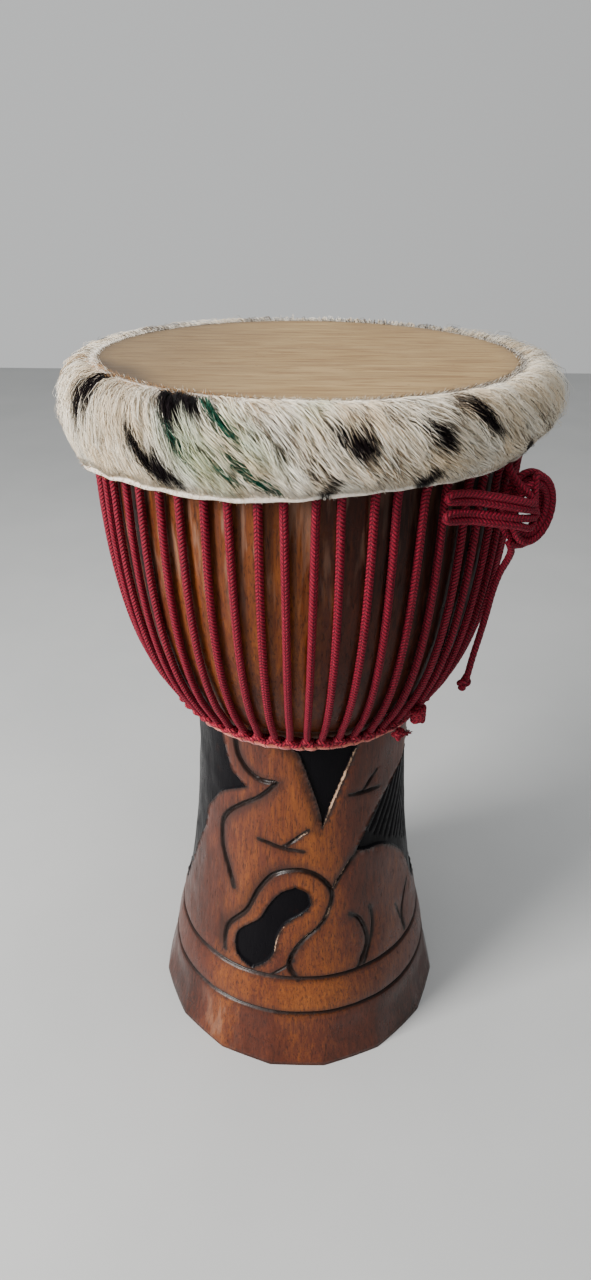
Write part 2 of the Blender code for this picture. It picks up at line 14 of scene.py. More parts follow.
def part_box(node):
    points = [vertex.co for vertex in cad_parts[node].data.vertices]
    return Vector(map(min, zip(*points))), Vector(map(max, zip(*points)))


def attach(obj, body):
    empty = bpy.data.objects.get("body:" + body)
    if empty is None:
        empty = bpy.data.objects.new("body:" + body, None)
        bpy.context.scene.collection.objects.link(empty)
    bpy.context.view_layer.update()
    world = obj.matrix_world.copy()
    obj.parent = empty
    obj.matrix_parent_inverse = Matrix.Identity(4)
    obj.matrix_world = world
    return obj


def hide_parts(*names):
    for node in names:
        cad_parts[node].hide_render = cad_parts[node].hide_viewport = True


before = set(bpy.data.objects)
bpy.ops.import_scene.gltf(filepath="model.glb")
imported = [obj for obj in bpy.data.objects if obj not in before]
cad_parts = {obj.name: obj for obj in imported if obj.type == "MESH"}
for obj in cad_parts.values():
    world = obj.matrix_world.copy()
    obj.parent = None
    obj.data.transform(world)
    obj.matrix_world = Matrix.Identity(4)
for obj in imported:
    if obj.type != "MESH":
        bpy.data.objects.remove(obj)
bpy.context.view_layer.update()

# Sizes shared with the solids
TOTAL_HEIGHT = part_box("goatskin")[1][2]
FOOT_RADIUS = 0.1355
WAIST_RADIUS = 0.0925
WAIST_HEIGHT = 0.338
RIM_RADIUS = 0.1512
BOWL_WALL = 0.0150
STEM_WALL = 0.0190
THROAT_HEIGHT = 0.030
BEARING_EDGE_DROP = 0.0085
STEM_FLARE = 2.2
BOWL_ROUND = 3.0
BOWL_SHOULDER = 0.625
SKIN = 0.0015
SKIN_GAP = 0.0003
COLLAR_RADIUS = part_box("goatskin")[1][0]
COLLAR_DEPTH = 0.055
COLLAR_EDGE_TILT = 0.0095
COLLAR_EDGE_TILT_TOWARDS = 75.0
COLLAR_RIPPLE = 0.0013
COLLAR_RIPPLES = 7
BAND_DEPTH = 0.032
HEAD_RING_RADIUS = 0.1563
HEAD_RING_ROD = 0.0030
CROWN_RING_HEIGHT = 0.5857
WAIST_RING_RADIUS = 0.0970
WAIST_RING_ROD = 0.0035
WAIST_RING_HEIGHT = 0.3342
TOP_CRADLE_RADIUS = 0.1621
WAIST_CRADLE_RADIUS = 0.1033
WAIST_CRADLE_HEIGHT = 0.3352
ROPE = 0.00275
FREE_ROPE = 0.0025
LOOPS = 28
FIRST_LOOP = 4.4
TOP_PAIR_SPREAD = 2.8
RIM_TOP = TOTAL_HEIGHT - SKIN - SKIN_GAP
BOWL_TOP = RIM_TOP - BEARING_EDGE_DROP
TAU = 2.0 * math.pi


# Camera, at the photograph's viewpoint

CAMERA_PLACE = (-0.0071, -0.6361, 0.7116)
CAMERA_PITCH = 28.47
CAMERA_ROLL = 0.57
IMAGE_HEIGHT = 1280.0
FOCAL_LENGTH_IN_PIXELS = 860.0
SENSOR = 36.0
NEAREST_SEEN = 0.02


def make_camera():
    """A phone held a little above the drum and tipped down at it."""
    data = bpy.data.cameras.new("camera")
    data.sensor_fit = "VERTICAL"
    data.sensor_height = SENSOR
    data.sensor_width = SENSOR
    data.lens = SENSOR * FOCAL_LENGTH_IN_PIXELS / IMAGE_HEIGHT
    data.clip_start = NEAREST_SEEN
    camera = bpy.data.objects.new("camera", data)
    tip = Matrix.Rotation(math.radians(90.0 - CAMERA_PITCH), 4, "X")
    roll = Matrix.Rotation(math.radians(CAMERA_ROLL), 4, "Z")
    camera.matrix_world = Matrix.Translation(CAMERA_PLACE) @ tip @ roll
    bpy.context.scene.collection.objects.link(camera)
    bpy.context.scene.camera = camera


make_camera()


# Outlines of the shell

def stem_radius(height):
    """Outer radius of the stem and foot."""
    share = np.clip(1.0 - np.asarray(height, float) / WAIST_HEIGHT, 0.0, None)
    return WAIST_RADIUS + (FOOT_RADIUS - WAIST_RADIUS) * share ** STEM_FLARE


def bowl_radius(height):
    """Outer radius of the bowl, from the waist up to the rim."""
    share = np.clip((np.asarray(height, float) - WAIST_HEIGHT) / (BOWL_TOP - WAIST_HEIGHT), 0.0, 1.0)
    rounding = (1.0 - (1.0 - share) ** BOWL_ROUND) ** BOWL_SHOULDER
    return WAIST_RADIUS + (RIM_RADIUS - WAIST_RADIUS) * rounding


SLOPE_STEP = 0.002


def bowl_slope(height):
    """How fast the bowl widens with height."""
    return (bowl_radius(height + SLOPE_STEP) - bowl_radius(height - SLOPE_STEP)) / (2.0 * SLOPE_STEP)


def places(angles, radii, heights):
    """Points from angles in degrees, radii and heights."""
    turns = np.radians(np.asarray(angles, float))
    radii = np.asarray(radii, float)
    heights = np.asarray(heights, float)
    across, ahead, up = np.broadcast_arrays(radii * np.sin(turns), -radii * np.cos(turns), heights)
    return np.stack([across, ahead, up], axis=-1)


# Curves

CURVE_STEPS = 24


def smooth_path(points, spacing, closed=False):
    """Points along a smooth curve through the chosen ones, about this far apart."""
    points = np.asarray(points, float)
    if closed:
        knots = np.vstack([points[-1:], points, points[:2]])
    else:
        knots = np.vstack([2.0 * points[0] - points[1], points, 2.0 * points[-1] - points[-2]])
    shares = np.linspace(0.0, 1.0, CURVE_STEPS, endpoint=False)[:, None]
    fine = []
    for before, start, end, after in zip(knots, knots[1:], knots[2:], knots[3:]):
        bend = (end - before) * shares
        bend = bend + (2.0 * before - 5.0 * start + 4.0 * end - after) * shares ** 2
        bend = bend + (3.0 * start - before - 3.0 * end + after) * shares ** 3
        fine.append(start + 0.5 * bend)
    fine.append(knots[-2:-1])
    return resample(np.vstack(fine), spacing)


def distances(points):
    """How far along a broken line each of its points lies."""
    steps = np.linalg.norm(np.diff(points, axis=0), axis=1)
    return np.concatenate([[0.0], np.cumsum(steps)])


def resample(points, spacing):
    """The same broken line with even steps of about this size."""
    along = distances(points)
    count = max(int(round(along[-1] / spacing)), 2) + 1
    wanted = np.linspace(0.0, along[-1], count)
    return np.stack([np.interp(wanted, along, points[:, axis]) for axis in range(points.shape[1])], axis=1)


# Mesh building

class Shape:
    """Points and faces gathered for one mesh, with face-corner coordinates for its pattern."""

    def __init__(self):
        self.points = []
        self.faces = {3: [], 4: []}
        self.layout = {3: [], 4: []}
        self.count = 0

    def add(self, points, faces, layout=None):
        """Adds points and one array of triangles or quads that use them."""
        self.add_faces(faces + self.count, layout)
        self.add_points(points)

    def add_points(self, points):
        """Adds points alone."""
        self.points.append(points)
        self.count += len(points)

    def add_faces(self, faces, layout=None):
        """Adds triangles or quads between points of the whole shape."""
        sides = faces.shape[1]
        self.faces[sides].append(faces)
        self.layout[sides].append(np.zeros((len(faces), sides, 2)) if layout is None else layout)

    def close_ring(self, centre, first, sides, spot=0.0):
        """Closes a ring of points with a fan of triangles round a new point."""
        rim = first + np.arange(sides)
        self.add_points(np.array([centre], float))
        tip = np.full(sides, self.count - 1)
        self.add_faces(np.stack([rim, np.roll(rim, -1), tip], axis=1), np.full((sides, 3, 2), spot))

    def make(self, name, material, closed=True):
        """One smooth object from all that was gathered, its faces turned outwards where it closes as one."""
        points = np.vstack(self.points)
        corners = []
        sizes = []
        layouts = []
        for sides in (4, 3):
            if self.faces[sides]:
                faces = np.vstack(self.faces[sides])
                corners.append(faces.ravel())
                sizes.append(np.full(len(faces), sides))
                layouts.append(np.vstack(self.layout[sides]).reshape(-1, 2))
        corners = np.concatenate(corners)
        sizes = np.concatenate(sizes)
        mesh = bpy.data.meshes.new(name)
        mesh.vertices.add(len(points))
        mesh.vertices.foreach_set("co", points.astype(np.float32).ravel())
        mesh.loops.add(len(corners))
        mesh.loops.foreach_set("vertex_index", corners.astype(np.int32))
        mesh.polygons.add(len(sizes))
        starts = np.concatenate([[0], np.cumsum(sizes)[:-1]])
        mesh.polygons.foreach_set("loop_start", starts.astype(np.int32))
        mesh.update(calc_edges=True)
        mesh.polygons.foreach_set("use_smooth", np.full(len(sizes), True))
        layer = mesh.uv_layers.new(name="pattern")
        layer.data.foreach_set("uv", np.vstack(layouts).astype(np.float32).ravel())
        mesh.materials.append(material)
        if closed:
            turn_outwards(mesh)
        thing = bpy.data.objects.new(name, mesh)
        bpy.context.scene.collection.objects.link(thing)
        return thing


def add_numbers(thing, name, numbers):
    """A number at every point, for the material to read."""
    layer = thing.data.attributes.new(name, "FLOAT", "POINT")
    layer.data.foreach_set("value", np.asarray(numbers, np.float32))


def add_colours(thing, name, colours):
    """A colour at every point, for the material to read."""
    layer = thing.data.attributes.new(name, "FLOAT_COLOR", "POINT")
    full = np.ones((len(colours), 4), np.float32)
    full[:, :3] = colours
    layer.data.foreach_set("color", full.ravel())


def soft_noise(points, scale, seed=0.0):
    """Smooth noise from -1 to 1 at each point."""
    shift = Vector((seed * 7.3, seed * 3.1, seed * 5.7))
    return np.array([noise.noise(Vector(point) * scale + shift) for point in points])


def fade(low, high, values):
    """Smooth step from 0 at low to 1 at high."""
    share = np.clip((values - low) / (high - low), 0.0, 1.0)
    return share * share * (3.0 - 2.0 * share)


def ring_faces(rows, columns, closed_rows=False):
    """Quads over a grid that closes on itself across its columns."""
    row = np.arange(rows if closed_rows else rows - 1)[:, None] * columns
    above = (row + columns) % (rows * columns)
    column = np.arange(columns)[None, :]
    following = (column + 1) % columns
    quads = np.stack([row + column, row + following, above + following, above + column], axis=-1)
    return quads.reshape(-1, 4)


def ring_layout(along, columns, closed_rows=False):
    """Pattern coordinates for ring_faces: 0 to 1 round, and metres along."""
    rows = len(along)
    ahead = along[1:] if not closed_rows else np.append(along[1:], 2.0 * along[-1] - along[-2])
    here = along[: rows if closed_rows else rows - 1]
    column = np.arange(columns)
    left = np.broadcast_to(column / columns, (len(here), columns))
    right = left + 1.0 / columns
    low = np.broadcast_to(here[:, None], left.shape)
    high = np.broadcast_to(ahead[:, None], left.shape)
    corners = [np.stack(pair, axis=-1) for pair in ((left, low), (right, low), (right, high), (left, high))]
    return np.stack(corners, axis=2).reshape(-1, 4, 2)


UPRIGHT_RUN = 0.2


def carried_frames(path, closed=False):
    """Two directions across a path at each point, turned as little as possible on the way."""
    if closed:
        runs = np.roll(path, -1, axis=0) - np.roll(path, 1, axis=0)
    else:
        runs = np.gradient(path, axis=0)
    runs /= np.linalg.norm(runs, axis=1)[:, None]
    side = np.cross(runs[0], (0.0, 0.0, 1.0))
    if np.linalg.norm(side) < UPRIGHT_RUN:
        side = np.cross(runs[0], (1.0, 0.0, 0.0))
    sides = np.empty_like(path)
    for index, run in enumerate(runs):
        side = side - run * side.dot(run)
        side = side / np.linalg.norm(side)
        sides[index] = side
    return sides, np.cross(sides, runs)


ROPE_SIDES = 10
BRAID_PITCH = 0.0054
BRAID_RELIEF = 0.05


def add_rope(shape, path, radius, closed=False, sides=ROPE_SIDES, ends=(1.0, 1.0), relief=BRAID_RELIEF):
    """A braided rope along a path, added to a shape."""
    along = distances(path)
    across, lift = carried_frames(path, closed)
    turns = TAU * np.arange(sides) / sides
    weave = np.cos(2.0 * turns[None, :] + TAU * along[:, None] / BRAID_PITCH)
    size = np.full((len(path), 1), radius)
    if not closed:
        size[0] *= ends[0]
        size[-1] *= ends[1]
    size = size * (1.0 + relief * weave)
    ring = across[:, None, :] * np.cos(turns)[None, :, None]
    ring = ring + lift[:, None, :] * np.sin(turns)[None, :, None]
    points = path[:, None, :] + ring * size[:, :, None]
    first = shape.count
    layout = ring_layout(along, sides, closed)
    shape.add(points.reshape(-1, 3), ring_faces(len(path), sides, closed), layout)
    if not closed:
        shape.close_ring(path[0], first, sides, 0.5)
        shape.close_ring(path[-1], first + (len(path) - 1) * sides, sides, 0.5)


def turn_outwards(mesh):
    """Faces of a closed mesh all turned outwards."""
    working = bmesh.new()
    working.from_mesh(mesh)
    bmesh.ops.recalc_face_normals(working, faces=working.faces)
    working.to_mesh(mesh)
    working.free()


# Materials

class Nodes:
    """Short hand for the nodes of one material."""

    def __init__(self, name, colour, roughness):
        self.material = bpy.data.materials.new(name)
        self.material.use_nodes = True
        self.material.diffuse_color = (*colour, 1.0)
        self.tree = self.material.node_tree
        self.shader = self.tree.nodes["Principled BSDF"]
        self.shader.inputs["Base Color"].default_value = (*colour, 1.0)
        self.shader.inputs["Roughness"].default_value = roughness
        self.place = self.node("ShaderNodeTexCoord").outputs["Object"]

    def node(self, kind):
        """A new node."""
        return self.tree.nodes.new(kind)

    def put(self, value, socket):
        """Sets a socket to a value, or links it to another socket."""
        if isinstance(value, bpy.types.NodeSocket):
            self.tree.links.new(value, socket)
        elif isinstance(value, tuple) and len(value) == 3 and socket.type == "RGBA":
            socket.default_value = (*value, 1.0)
        else:
            socket.default_value = value

    def number(self, name):
        """A number stored on the mesh."""
        node = self.node("ShaderNodeAttribute")
        node.attribute_name = name
        return node.outputs["Fac"]

    def colour(self, name):
        """A colour stored on the mesh."""
        node = self.node("ShaderNodeAttribute")
        node.attribute_name = name
        return node.outputs["Color"]

    def pattern(self):
        """The pattern coordinates stored on the mesh."""
        node = self.node("ShaderNodeUVMap")
        node.uv_map = "pattern"
        return node.outputs["UV"]

    def stretch(self, vector, scale, turn=(0.0, 0.0, 0.0)):
        """Coordinates scaled, and turned, before a texture reads them."""
        node = self.node("ShaderNodeMapping")
        node.inputs["Scale"].default_value = scale
        node.inputs["Rotation"].default_value = turn
        self.put(vector, node.inputs["Vector"])
        return node.outputs["Vector"]

    def noise(self, vector, scale, detail=3.0, roughness=0.55, distortion=0.0):
        """Cloudy noise from 0 to 1."""
        node = self.node("ShaderNodeTexNoise")
        self.put(vector, node.inputs["Vector"])
        node.inputs["Scale"].default_value = scale
        node.inputs["Detail"].default_value = detail
        node.inputs["Roughness"].default_value = roughness
        node.inputs["Distortion"].default_value = distortion
        return node.outputs["Fac"]

    def cells(self, vector, scale):
        """Distance from the middle of scattered cells."""
        node = self.node("ShaderNodeTexVoronoi")
        self.put(vector, node.inputs["Vector"])
        node.inputs["Scale"].default_value = scale
        return node.outputs["Distance"]

    def maths(self, how, first, second):
        """One sum on numbers."""
        node = self.node("ShaderNodeMath")
        node.operation = how
        for value, socket in zip((first, second), node.inputs):
            self.put(value, socket)
        return node.outputs[0]

    def times(self, first, second):
        """Two numbers multiplied."""
        return self.maths("MULTIPLY", first, second)

    def plus(self, first, second):
        """Two numbers added."""
        return self.maths("ADD", first, second)

    def span(self, value, low, high, to_low=0.0, to_high=1.0):
        """A number from one range to another, smoothly and without going past it."""
        node = self.node("ShaderNodeMapRange")
        node.interpolation_type = "SMOOTHSTEP"
        self.put(value, node.inputs["Value"])
        limits = {"From Min": low, "From Max": high, "To Min": to_low, "To Max": to_high}
        for name, number in limits.items():
            self.put(number, node.inputs[name])
        return node.outputs["Result"]

    def ramp(self, value, stops):
        """Colours at places from 0 to 1."""
        node = self.node("ShaderNodeValToRGB")
        self.put(value, node.inputs["Fac"])
        band = node.color_ramp
        while len(band.elements) < len(stops):
            band.elements.new(0.5)
        for element, (spot, colour) in zip(band.elements, stops):
            element.position = spot
            element.color = (*colour, 1.0)
        return node.outputs["Color"]

    def mix(self, share, first, second, how="MIX"):
        """Two colours mixed."""
        node = self.node("ShaderNodeMix")
        node.data_type = "RGBA"
        node.blend_type = how
        self.put(share, node.inputs["Factor"])
        self.put(first, node.inputs[6])
        self.put(second, node.inputs[7])
        return node.outputs[2]

    def over(self, colour, second, mask, strength):
        """A second colour laid over the first where the mask has it."""
        return self.mix(self.times(mask, strength), colour, second)

    def bump(self, height, depth, strength, under=None):
        """A relief of this depth in metres."""
        node = self.node("ShaderNodeBump")
        node.inputs["Strength"].default_value = strength
        node.inputs["Distance"].default_value = depth
        self.put(height, node.inputs["Height"])
        if under is not None:
            self.put(under, node.inputs["Normal"])
        return node.outputs["Normal"]

    def parts(self, vector):
        """The three numbers of a vector."""
        node = self.node("ShaderNodeSeparateXYZ")
        self.put(vector, node.inputs[0])
        return node.outputs

    def finish(self, colour=None, roughness=None, normal=None, **sockets):
        """Links the finished colour, roughness and relief to the shader, and sets its plain sockets."""
        for name, value in (("Base Color", colour), ("Roughness", roughness), ("Normal", normal)):
            if value is not None:
                self.put(value, self.shader.inputs[name])
        for name, value in sockets.items():
            self.put(value, self.shader.inputs[name.replace("_", " ")])
        return self.material


WOOD_ORANGE = (0.215, 0.060, 0.011)
WOOD_GOLD = (0.330, 0.112, 0.022)
WOOD_RED = (0.088, 0.020, 0.009)
WOOD_DARK = (0.022, 0.007, 0.0045)
WOOD_GLEAM = (0.400, 0.240, 0.165)
WOOD_RAW_AND_GLINT = (0.400, 0.255, 0.170)
STAIN = (0.008, 0.0035, 0.0025)
PAINT = (0.0035, 0.0030, 0.0042)
WOOD_SCUFF = (0.032, 0.028, 0.030)


def wood_material(name, shine, varnish):
    """Varnished wood with upright grain, stained cuts and black painted fields, with painted shade, painted
    gleams and painted glints on cut edges in its colour.
    """
    m = Nodes(name, WOOD_ORANGE, 0.35)

    def upright(drawn, *texture):
        """Noise drawn out up the drum, more so for a smaller number."""
        return m.noise(m.stretch(m.place, (1.0, 1.0, drawn)), *texture)

    broad = upright(0.35, 9.0, 4.0, 0.6, 0.4)
    grain = upright(0.10, 330.0, 5.0, 0.62)
    fibres = upright(0.045, 900.0, 3.0, 0.6)
    pores = m.span(upright(0.14, 520.0, 2.0, 0.5), 0.60, 0.72)
    tone = m.plus(m.plus(m.times(broad, 0.62), m.times(grain, 0.42)), m.number("tone"))
    wood = m.ramp(tone, ((0.22, WOOD_DARK), (0.42, WOOD_RED), (0.60, WOOD_ORANGE), (0.80, WOOD_GOLD)))
    wood = m.over(wood, WOOD_RED, m.span(fibres, 0.52, 0.34), 0.60)
    flecks = m.span(upright(0.30, 760.0, 3.0, 0.6), 0.53, 0.66)
    wood = m.over(wood, WOOD_DARK, flecks, 0.60)
    wood = m.over(wood, WOOD_DARK, pores, 0.62)
    # Distances to the cuts, fields and glinting cut edges are in millimetres, made ragged before they are
    # read
    ragged = m.times(m.maths("SUBTRACT", m.noise(m.place, 420.0, 3.0), 0.5), 1.6)
    cut = m.plus(m.number("cut"), ragged)
    wood = m.over(wood, WOOD_DARK, m.span(cut, 7.5, 1.5), 0.46)
    # Painted shade on the slopes beside the cuts and below the collar; the rough patch is darkened by the
    # same number
    wood = m.over(wood, WOOD_DARK, m.number("shade"), 0.9)
    # Painted highlights: pale gleaming streaks that stand in for the varnish's reflection
    gleams = m.span(upright(0.12, 130.0, 3.0, 0.55), 0.50, 0.64)
    wood = m.over(wood, WOOD_GLEAM, gleams, m.number("painted_gleam"))
    stained = m.span(cut, 2.9, 1.2)
    wood = m.over(wood, STAIN, stained, 0.93)
    edge = m.plus(m.number("field"), m.times(ragged, 0.45))
    wood = m.over(wood, STAIN, m.span(edge, -3.4, -0.2), 0.72)
    scuffs = m.span(upright(0.08, 700.0, 4.0, 0.7), 0.66, 0.82)
    rubbed = m.span(m.noise(m.place, 60.0, 4.0, 0.7), 0.60, 0.75)
    paint = m.over(m.over(PAINT, WOOD_SCUFF, scuffs, 0.45), WOOD_DARK, rubbed, 0.30)
    colour = m.mix(m.span(edge, -0.15, 0.35), wood, paint)
    # Painted highlight: a broken pale glint along some cut edges
    broken = m.span(m.noise(m.place, 75.0, 3.0, 0.6), 0.40, 0.56, 0.25, 1.0)
    colour = m.over(colour, WOOD_RAW_AND_GLINT, m.span(m.plus(m.number("edge_glint"), ragged), 0.70, 0.25), broken)
    colour = m.mix(m.number("raw"), colour, m.ramp(grain, ((0.3, WOOD_RED), (0.7, WOOD_RAW_AND_GLINT))))
    gloss = m.plus(m.span(m.noise(m.place, 38.0, 4.0), 0.3, 0.7, 0.26, 0.42), m.times(pores, 0.2))
    gloss = m.plus(m.plus(gloss, m.times(m.number("raw"), 0.35)), m.times(stained, 0.12))
    normal = m.bump(upright(0.4, 70.0, 3.0, 0.5), 0.0016, 0.5)
    normal = m.bump(grain, 0.00035, 0.55, normal)
    normal = m.bump(m.maths("SUBTRACT", 1.0, pores), 0.00022, 0.6, normal)
    return m.finish(colour, gloss, normal, Coat_Weight=varnish, Coat_Roughness=0.18, Specular_IOR_Level=shine)


ROPE_RED = (0.215, 0.0036, 0.0180)
ROPE_FLUFF_HIGHLIGHT = (0.480, 0.020, 0.062)
ROPE_SHADE_AND_DIRT = (0.040, 0.0015, 0.007)
ROPE_SHEEN = (0.9, 0.10, 0.20)
BAND_RED = (0.330, 0.011, 0.030)
BAND_FLUFF_HIGHLIGHT = (0.720, 0.110, 0.140)


def rope_material(name, base, fluff_highlight):
    """A round braid: slanting stitches that meet in Vs, with painted shade in the valleys between them, pale
    fluff brightest on their crests as a painted highlight, and dirt.
    """
    m = Nodes(name, base, 0.7)
    around, along, _ = m.parts(m.pattern())
    turns = m.times(around, 4.0)
    slant = m.plus(m.times(along, 2.0 / BRAID_PITCH), m.maths("PINGPONG", turns, 1.0))
    stitch = m.span(m.maths("PINGPONG", slant, 0.5), 0.02, 0.36)
    height = m.times(stitch, m.span(m.maths("PINGPONG", turns, 0.5), 0.0, 0.20, 0.35, 1.0))
    fluff = m.noise(m.place, 900.0, 3.0, 0.6)
    dirt = m.noise(m.place, 45.0, 3.0, 0.6)
    # Painted shade in the valleys between stitches, and a painted highlight where fluff lies on the crests
    colour = m.mix(m.span(height, -0.30, 0.85), ROPE_SHADE_AND_DIRT, base)
    colour = m.over(colour, fluff_highlight, m.span(fluff, 0.50, 0.72), m.span(height, 0.3, 1.0))
    colour = m.over(colour, ROPE_SHADE_AND_DIRT, m.span(dirt, 0.5, 0.8), 0.35)
    normal = m.bump(fluff, 0.0003, 0.6, m.bump(height, 0.0008, 0.9))
    return m.finish(
        colour, m.span(fluff, 0.3, 0.7, 0.55, 0.8), normal,
        Sheen_Weight=0.12, Sheen_Roughness=0.45, Sheen_Tint=ROPE_SHEEN, Specular_IOR_Level=0.22,
    )


CLOTH_SALMON = (0.520, 0.080, 0.060)
CLOTH_PALE = (0.640, 0.190, 0.120)
CLOTH_FADED = (0.330, 0.030, 0.035)
CLOTH_TURNS_PER_METRE = 110.0


def cloth_material():
    """The strip of cloth wound round the ring at the waist."""
    m = Nodes("ring_cloth", CLOTH_SALMON, 0.85)
    around, along, _ = m.parts(m.pattern())
    wind = m.maths("PINGPONG", m.plus(m.times(along, CLOTH_TURNS_PER_METRE), around), 0.5)
    weave = m.noise(m.place, 1500.0, 2.0, 0.6)
    patches = m.noise(m.place, 55.0, 3.0, 0.6)
    colour = m.mix(m.span(weave, 0.35, 0.65), CLOTH_SALMON, CLOTH_PALE)
    colour = m.mix(m.span(patches, 0.45, 0.62), colour, CLOTH_FADED)
    # Painted shade in the crease between turns of the cloth
    colour = m.mix(m.span(wind, 0.07, 0.0), colour, ROPE_SHADE_AND_DIRT)
    normal = m.bump(weave, 0.0002, 0.6, m.bump(m.span(wind, 0.0, 0.12), 0.0006, 0.8))
    return m.finish(colour, 0.88, normal, Sheen_Weight=0.25)


STEEL = (0.36, 0.34, 0.33)
STEEL_PLAIN = (0.33, 0.31, 0.30)
RUST = (0.17, 0.075, 0.035)


def steel_material():
    """Dull steel rod with some rust."""
    m = Nodes("ring_steel", STEEL_PLAIN, 0.42)
    rust = m.noise(m.place, 80.0, 5.0, 0.65)
    fine = m.noise(m.place, 700.0, 3.0, 0.6)
    colour = m.mix(m.span(rust, 0.50, 0.66), STEEL, RUST)
    roughness = m.span(rust, 0.45, 0.66, 0.34, 0.80)
    return m.finish(colour, roughness, m.bump(fine, 0.0002, 0.5), Metallic=0.85)


HEAD_TAN = (0.345, 0.219, 0.092)
HEAD_PALE = (0.445, 0.305, 0.145)
HEAD_BROWN = (0.225, 0.122, 0.046)
HEAD_DASH = (0.160, 0.080, 0.035)
HEAD_SPECK = (0.120, 0.065, 0.030)
HEAD_DARKENED = (0.100, 0.068, 0.042)
HIDE_CREAM = (0.760, 0.650, 0.520)
HIDE_WHITE = (0.900, 0.830, 0.740)


def hide_material():
    """Bare playing head with fibres that run across it, and the hide under the hair."""
    m = Nodes("hide", HEAD_TAN, 0.6)

    def strands(drawn, turn, *texture):
        """Noise drawn out across the head and turned a little."""
        return m.noise(m.stretch(m.place, (drawn, 1.0, 1.0), (0.0, 0.0, turn)), *texture)

    fibres = strands(0.055, 0.05, 620.0, 5.0, 0.65)
    streaks = strands(0.10, 0.03, 95.0, 4.0, 0.6, 0.3)
    threads = strands(0.07, 0.04, 270.0, 4.0, 0.65)
    dashes = m.span(strands(0.16, 0.06, 210.0, 2.0, 0.5), 0.70, 0.76)
    clouds = m.noise(m.place, 11.0, 4.0, 0.55)
    mottle = m.plus(m.times(streaks, 0.6), m.times(clouds, 0.4))
    colour = m.ramp(mottle, ((0.30, HEAD_BROWN), (0.46, HEAD_TAN), (0.64, HEAD_PALE)))
    for shade, mask, strength in (
        (HEAD_BROWN, m.span(threads, 0.50, 0.37), 0.75),
        (HEAD_PALE, m.span(threads, 0.52, 0.66), 0.60),
        (HEAD_BROWN, m.span(fibres, 0.48, 0.30), 0.70),
        (HEAD_PALE, m.span(fibres, 0.55, 0.72), 0.50),
        (HEAD_DASH, dashes, 0.65),
        (HEAD_SPECK, m.span(m.cells(m.place, 85.0), 0.10, 0.05), 0.55),
    ):
        colour = m.over(colour, shade, mask, strength)
    colour = m.mix(m.number("shade"), colour, HEAD_DARKENED)
    hide = m.mix(m.span(m.noise(m.place, 500.0, 3.0), 0.35, 0.65), HIDE_CREAM, HIDE_WHITE)
    hide = m.mix(1.0, hide, m.colour("tint"), "MULTIPLY")
    colour = m.mix(m.number("hairy"), colour, hide)
    normal = m.bump(m.plus(m.times(fibres, 0.7), m.times(streaks, 0.6)), 0.00045, 0.6)
    return m.finish(colour, m.span(streaks, 0.3, 0.7, 0.50, 0.68), normal, Specular_IOR_Level=0.35)


HAIR_PLAIN = (0.80, 0.75, 0.66)
HAIR_ROOT_SHADE = (0.50, 0.42, 0.32)


def hair_material():
    """Goat hair in the colour of each strand, with painted shade towards its root and a pale gleam."""
    m = Nodes("goat_hair", HAIR_PLAIN, 0.5)
    tint = m.colour("tint")
    root = m.mix(1.0, tint, HAIR_ROOT_SHADE, "MULTIPLY")
    # Painted shade at the root of every strand
    colour = m.over(tint, root, m.span(m.number("along"), 0.50, 0.0), 0.50)
    strands = m.noise(m.place, 800.0, 2.0)
    colour = m.mix(m.times(strands, 0.34), colour, tint, "SCREEN")
    return m.finish(colour, m.span(strands, 0.3, 0.7, 0.42, 0.62), None, Specular_IOR_Level=0.10)


# Floor and light

FLOOR_SIZE = 6.0
FLOOR_DROP = 0.0002
FLOOR_GREY = (0.56, 0.57, 0.57)
FLOOR_CLOUDS = ((0.3, (0.505, 0.515, 0.515)), (0.7, (0.565, 0.572, 0.570)))
# Soft boxes: name, place, what they aim at, width and height, power and colour
LIGHTS = (
    ("window", (-1.55, -0.95, 1.25), (0.0, 0.0, 0.36), (0.75, 0.95), 84.0, (1.0, 0.975, 0.94)),
    ("ceiling", (0.2, -0.3, 2.2), (0.0, 0.0, 0.3), (1.4, 1.4), 17.0, (0.98, 0.99, 1.0)),
    ("fill", (1.5, -1.3, 1.0), (0.0, 0.0, 0.4), (1.0, 1.0), 1.5, (0.95, 0.97, 1.0)),
)
WALL_GREY = (0.735, 0.745, 0.745)
ROOM_LEVEL = 0.53
ROOM_SLOPE = (-0.21, 0.29, 0.04)


def make_floor():
    """A plain pale floor."""
    mesh = bpy.data.meshes.new("floor")
    half = FLOOR_SIZE / 2.0
    corners = [(x, y, -FLOOR_DROP) for x, y in ((-half, -half), (half, -half), (half, half), (-half, half))]
    mesh.from_pydata(corners, [], [(0, 1, 2, 3)])
    m = Nodes("floor", FLOOR_GREY, 0.6)
    colour = m.ramp(m.noise(m.place, 3.0, 4.0, 0.55), FLOOR_CLOUDS)
    mesh.materials.append(m.finish(colour, 0.60))
    floor = bpy.data.objects.new("floor", mesh)
    bpy.context.scene.collection.objects.link(floor)


def area_light(name, place, aim, size, power, colour):
    """One soft box."""
    data = bpy.data.lights.new(name, "AREA")
    data.shape = "RECTANGLE"
    data.size = size[0]
    data.size_y = size[1]
    data.energy = power
    data.color = colour
    light = bpy.data.objects.new(name, data)
    towards = Vector(aim) - Vector(place)
    light.matrix_world = Matrix.Translation(place) @ towards.to_track_quat("-Z", "Y").to_matrix().to_4x4()
    bpy.context.scene.collection.objects.link(light)


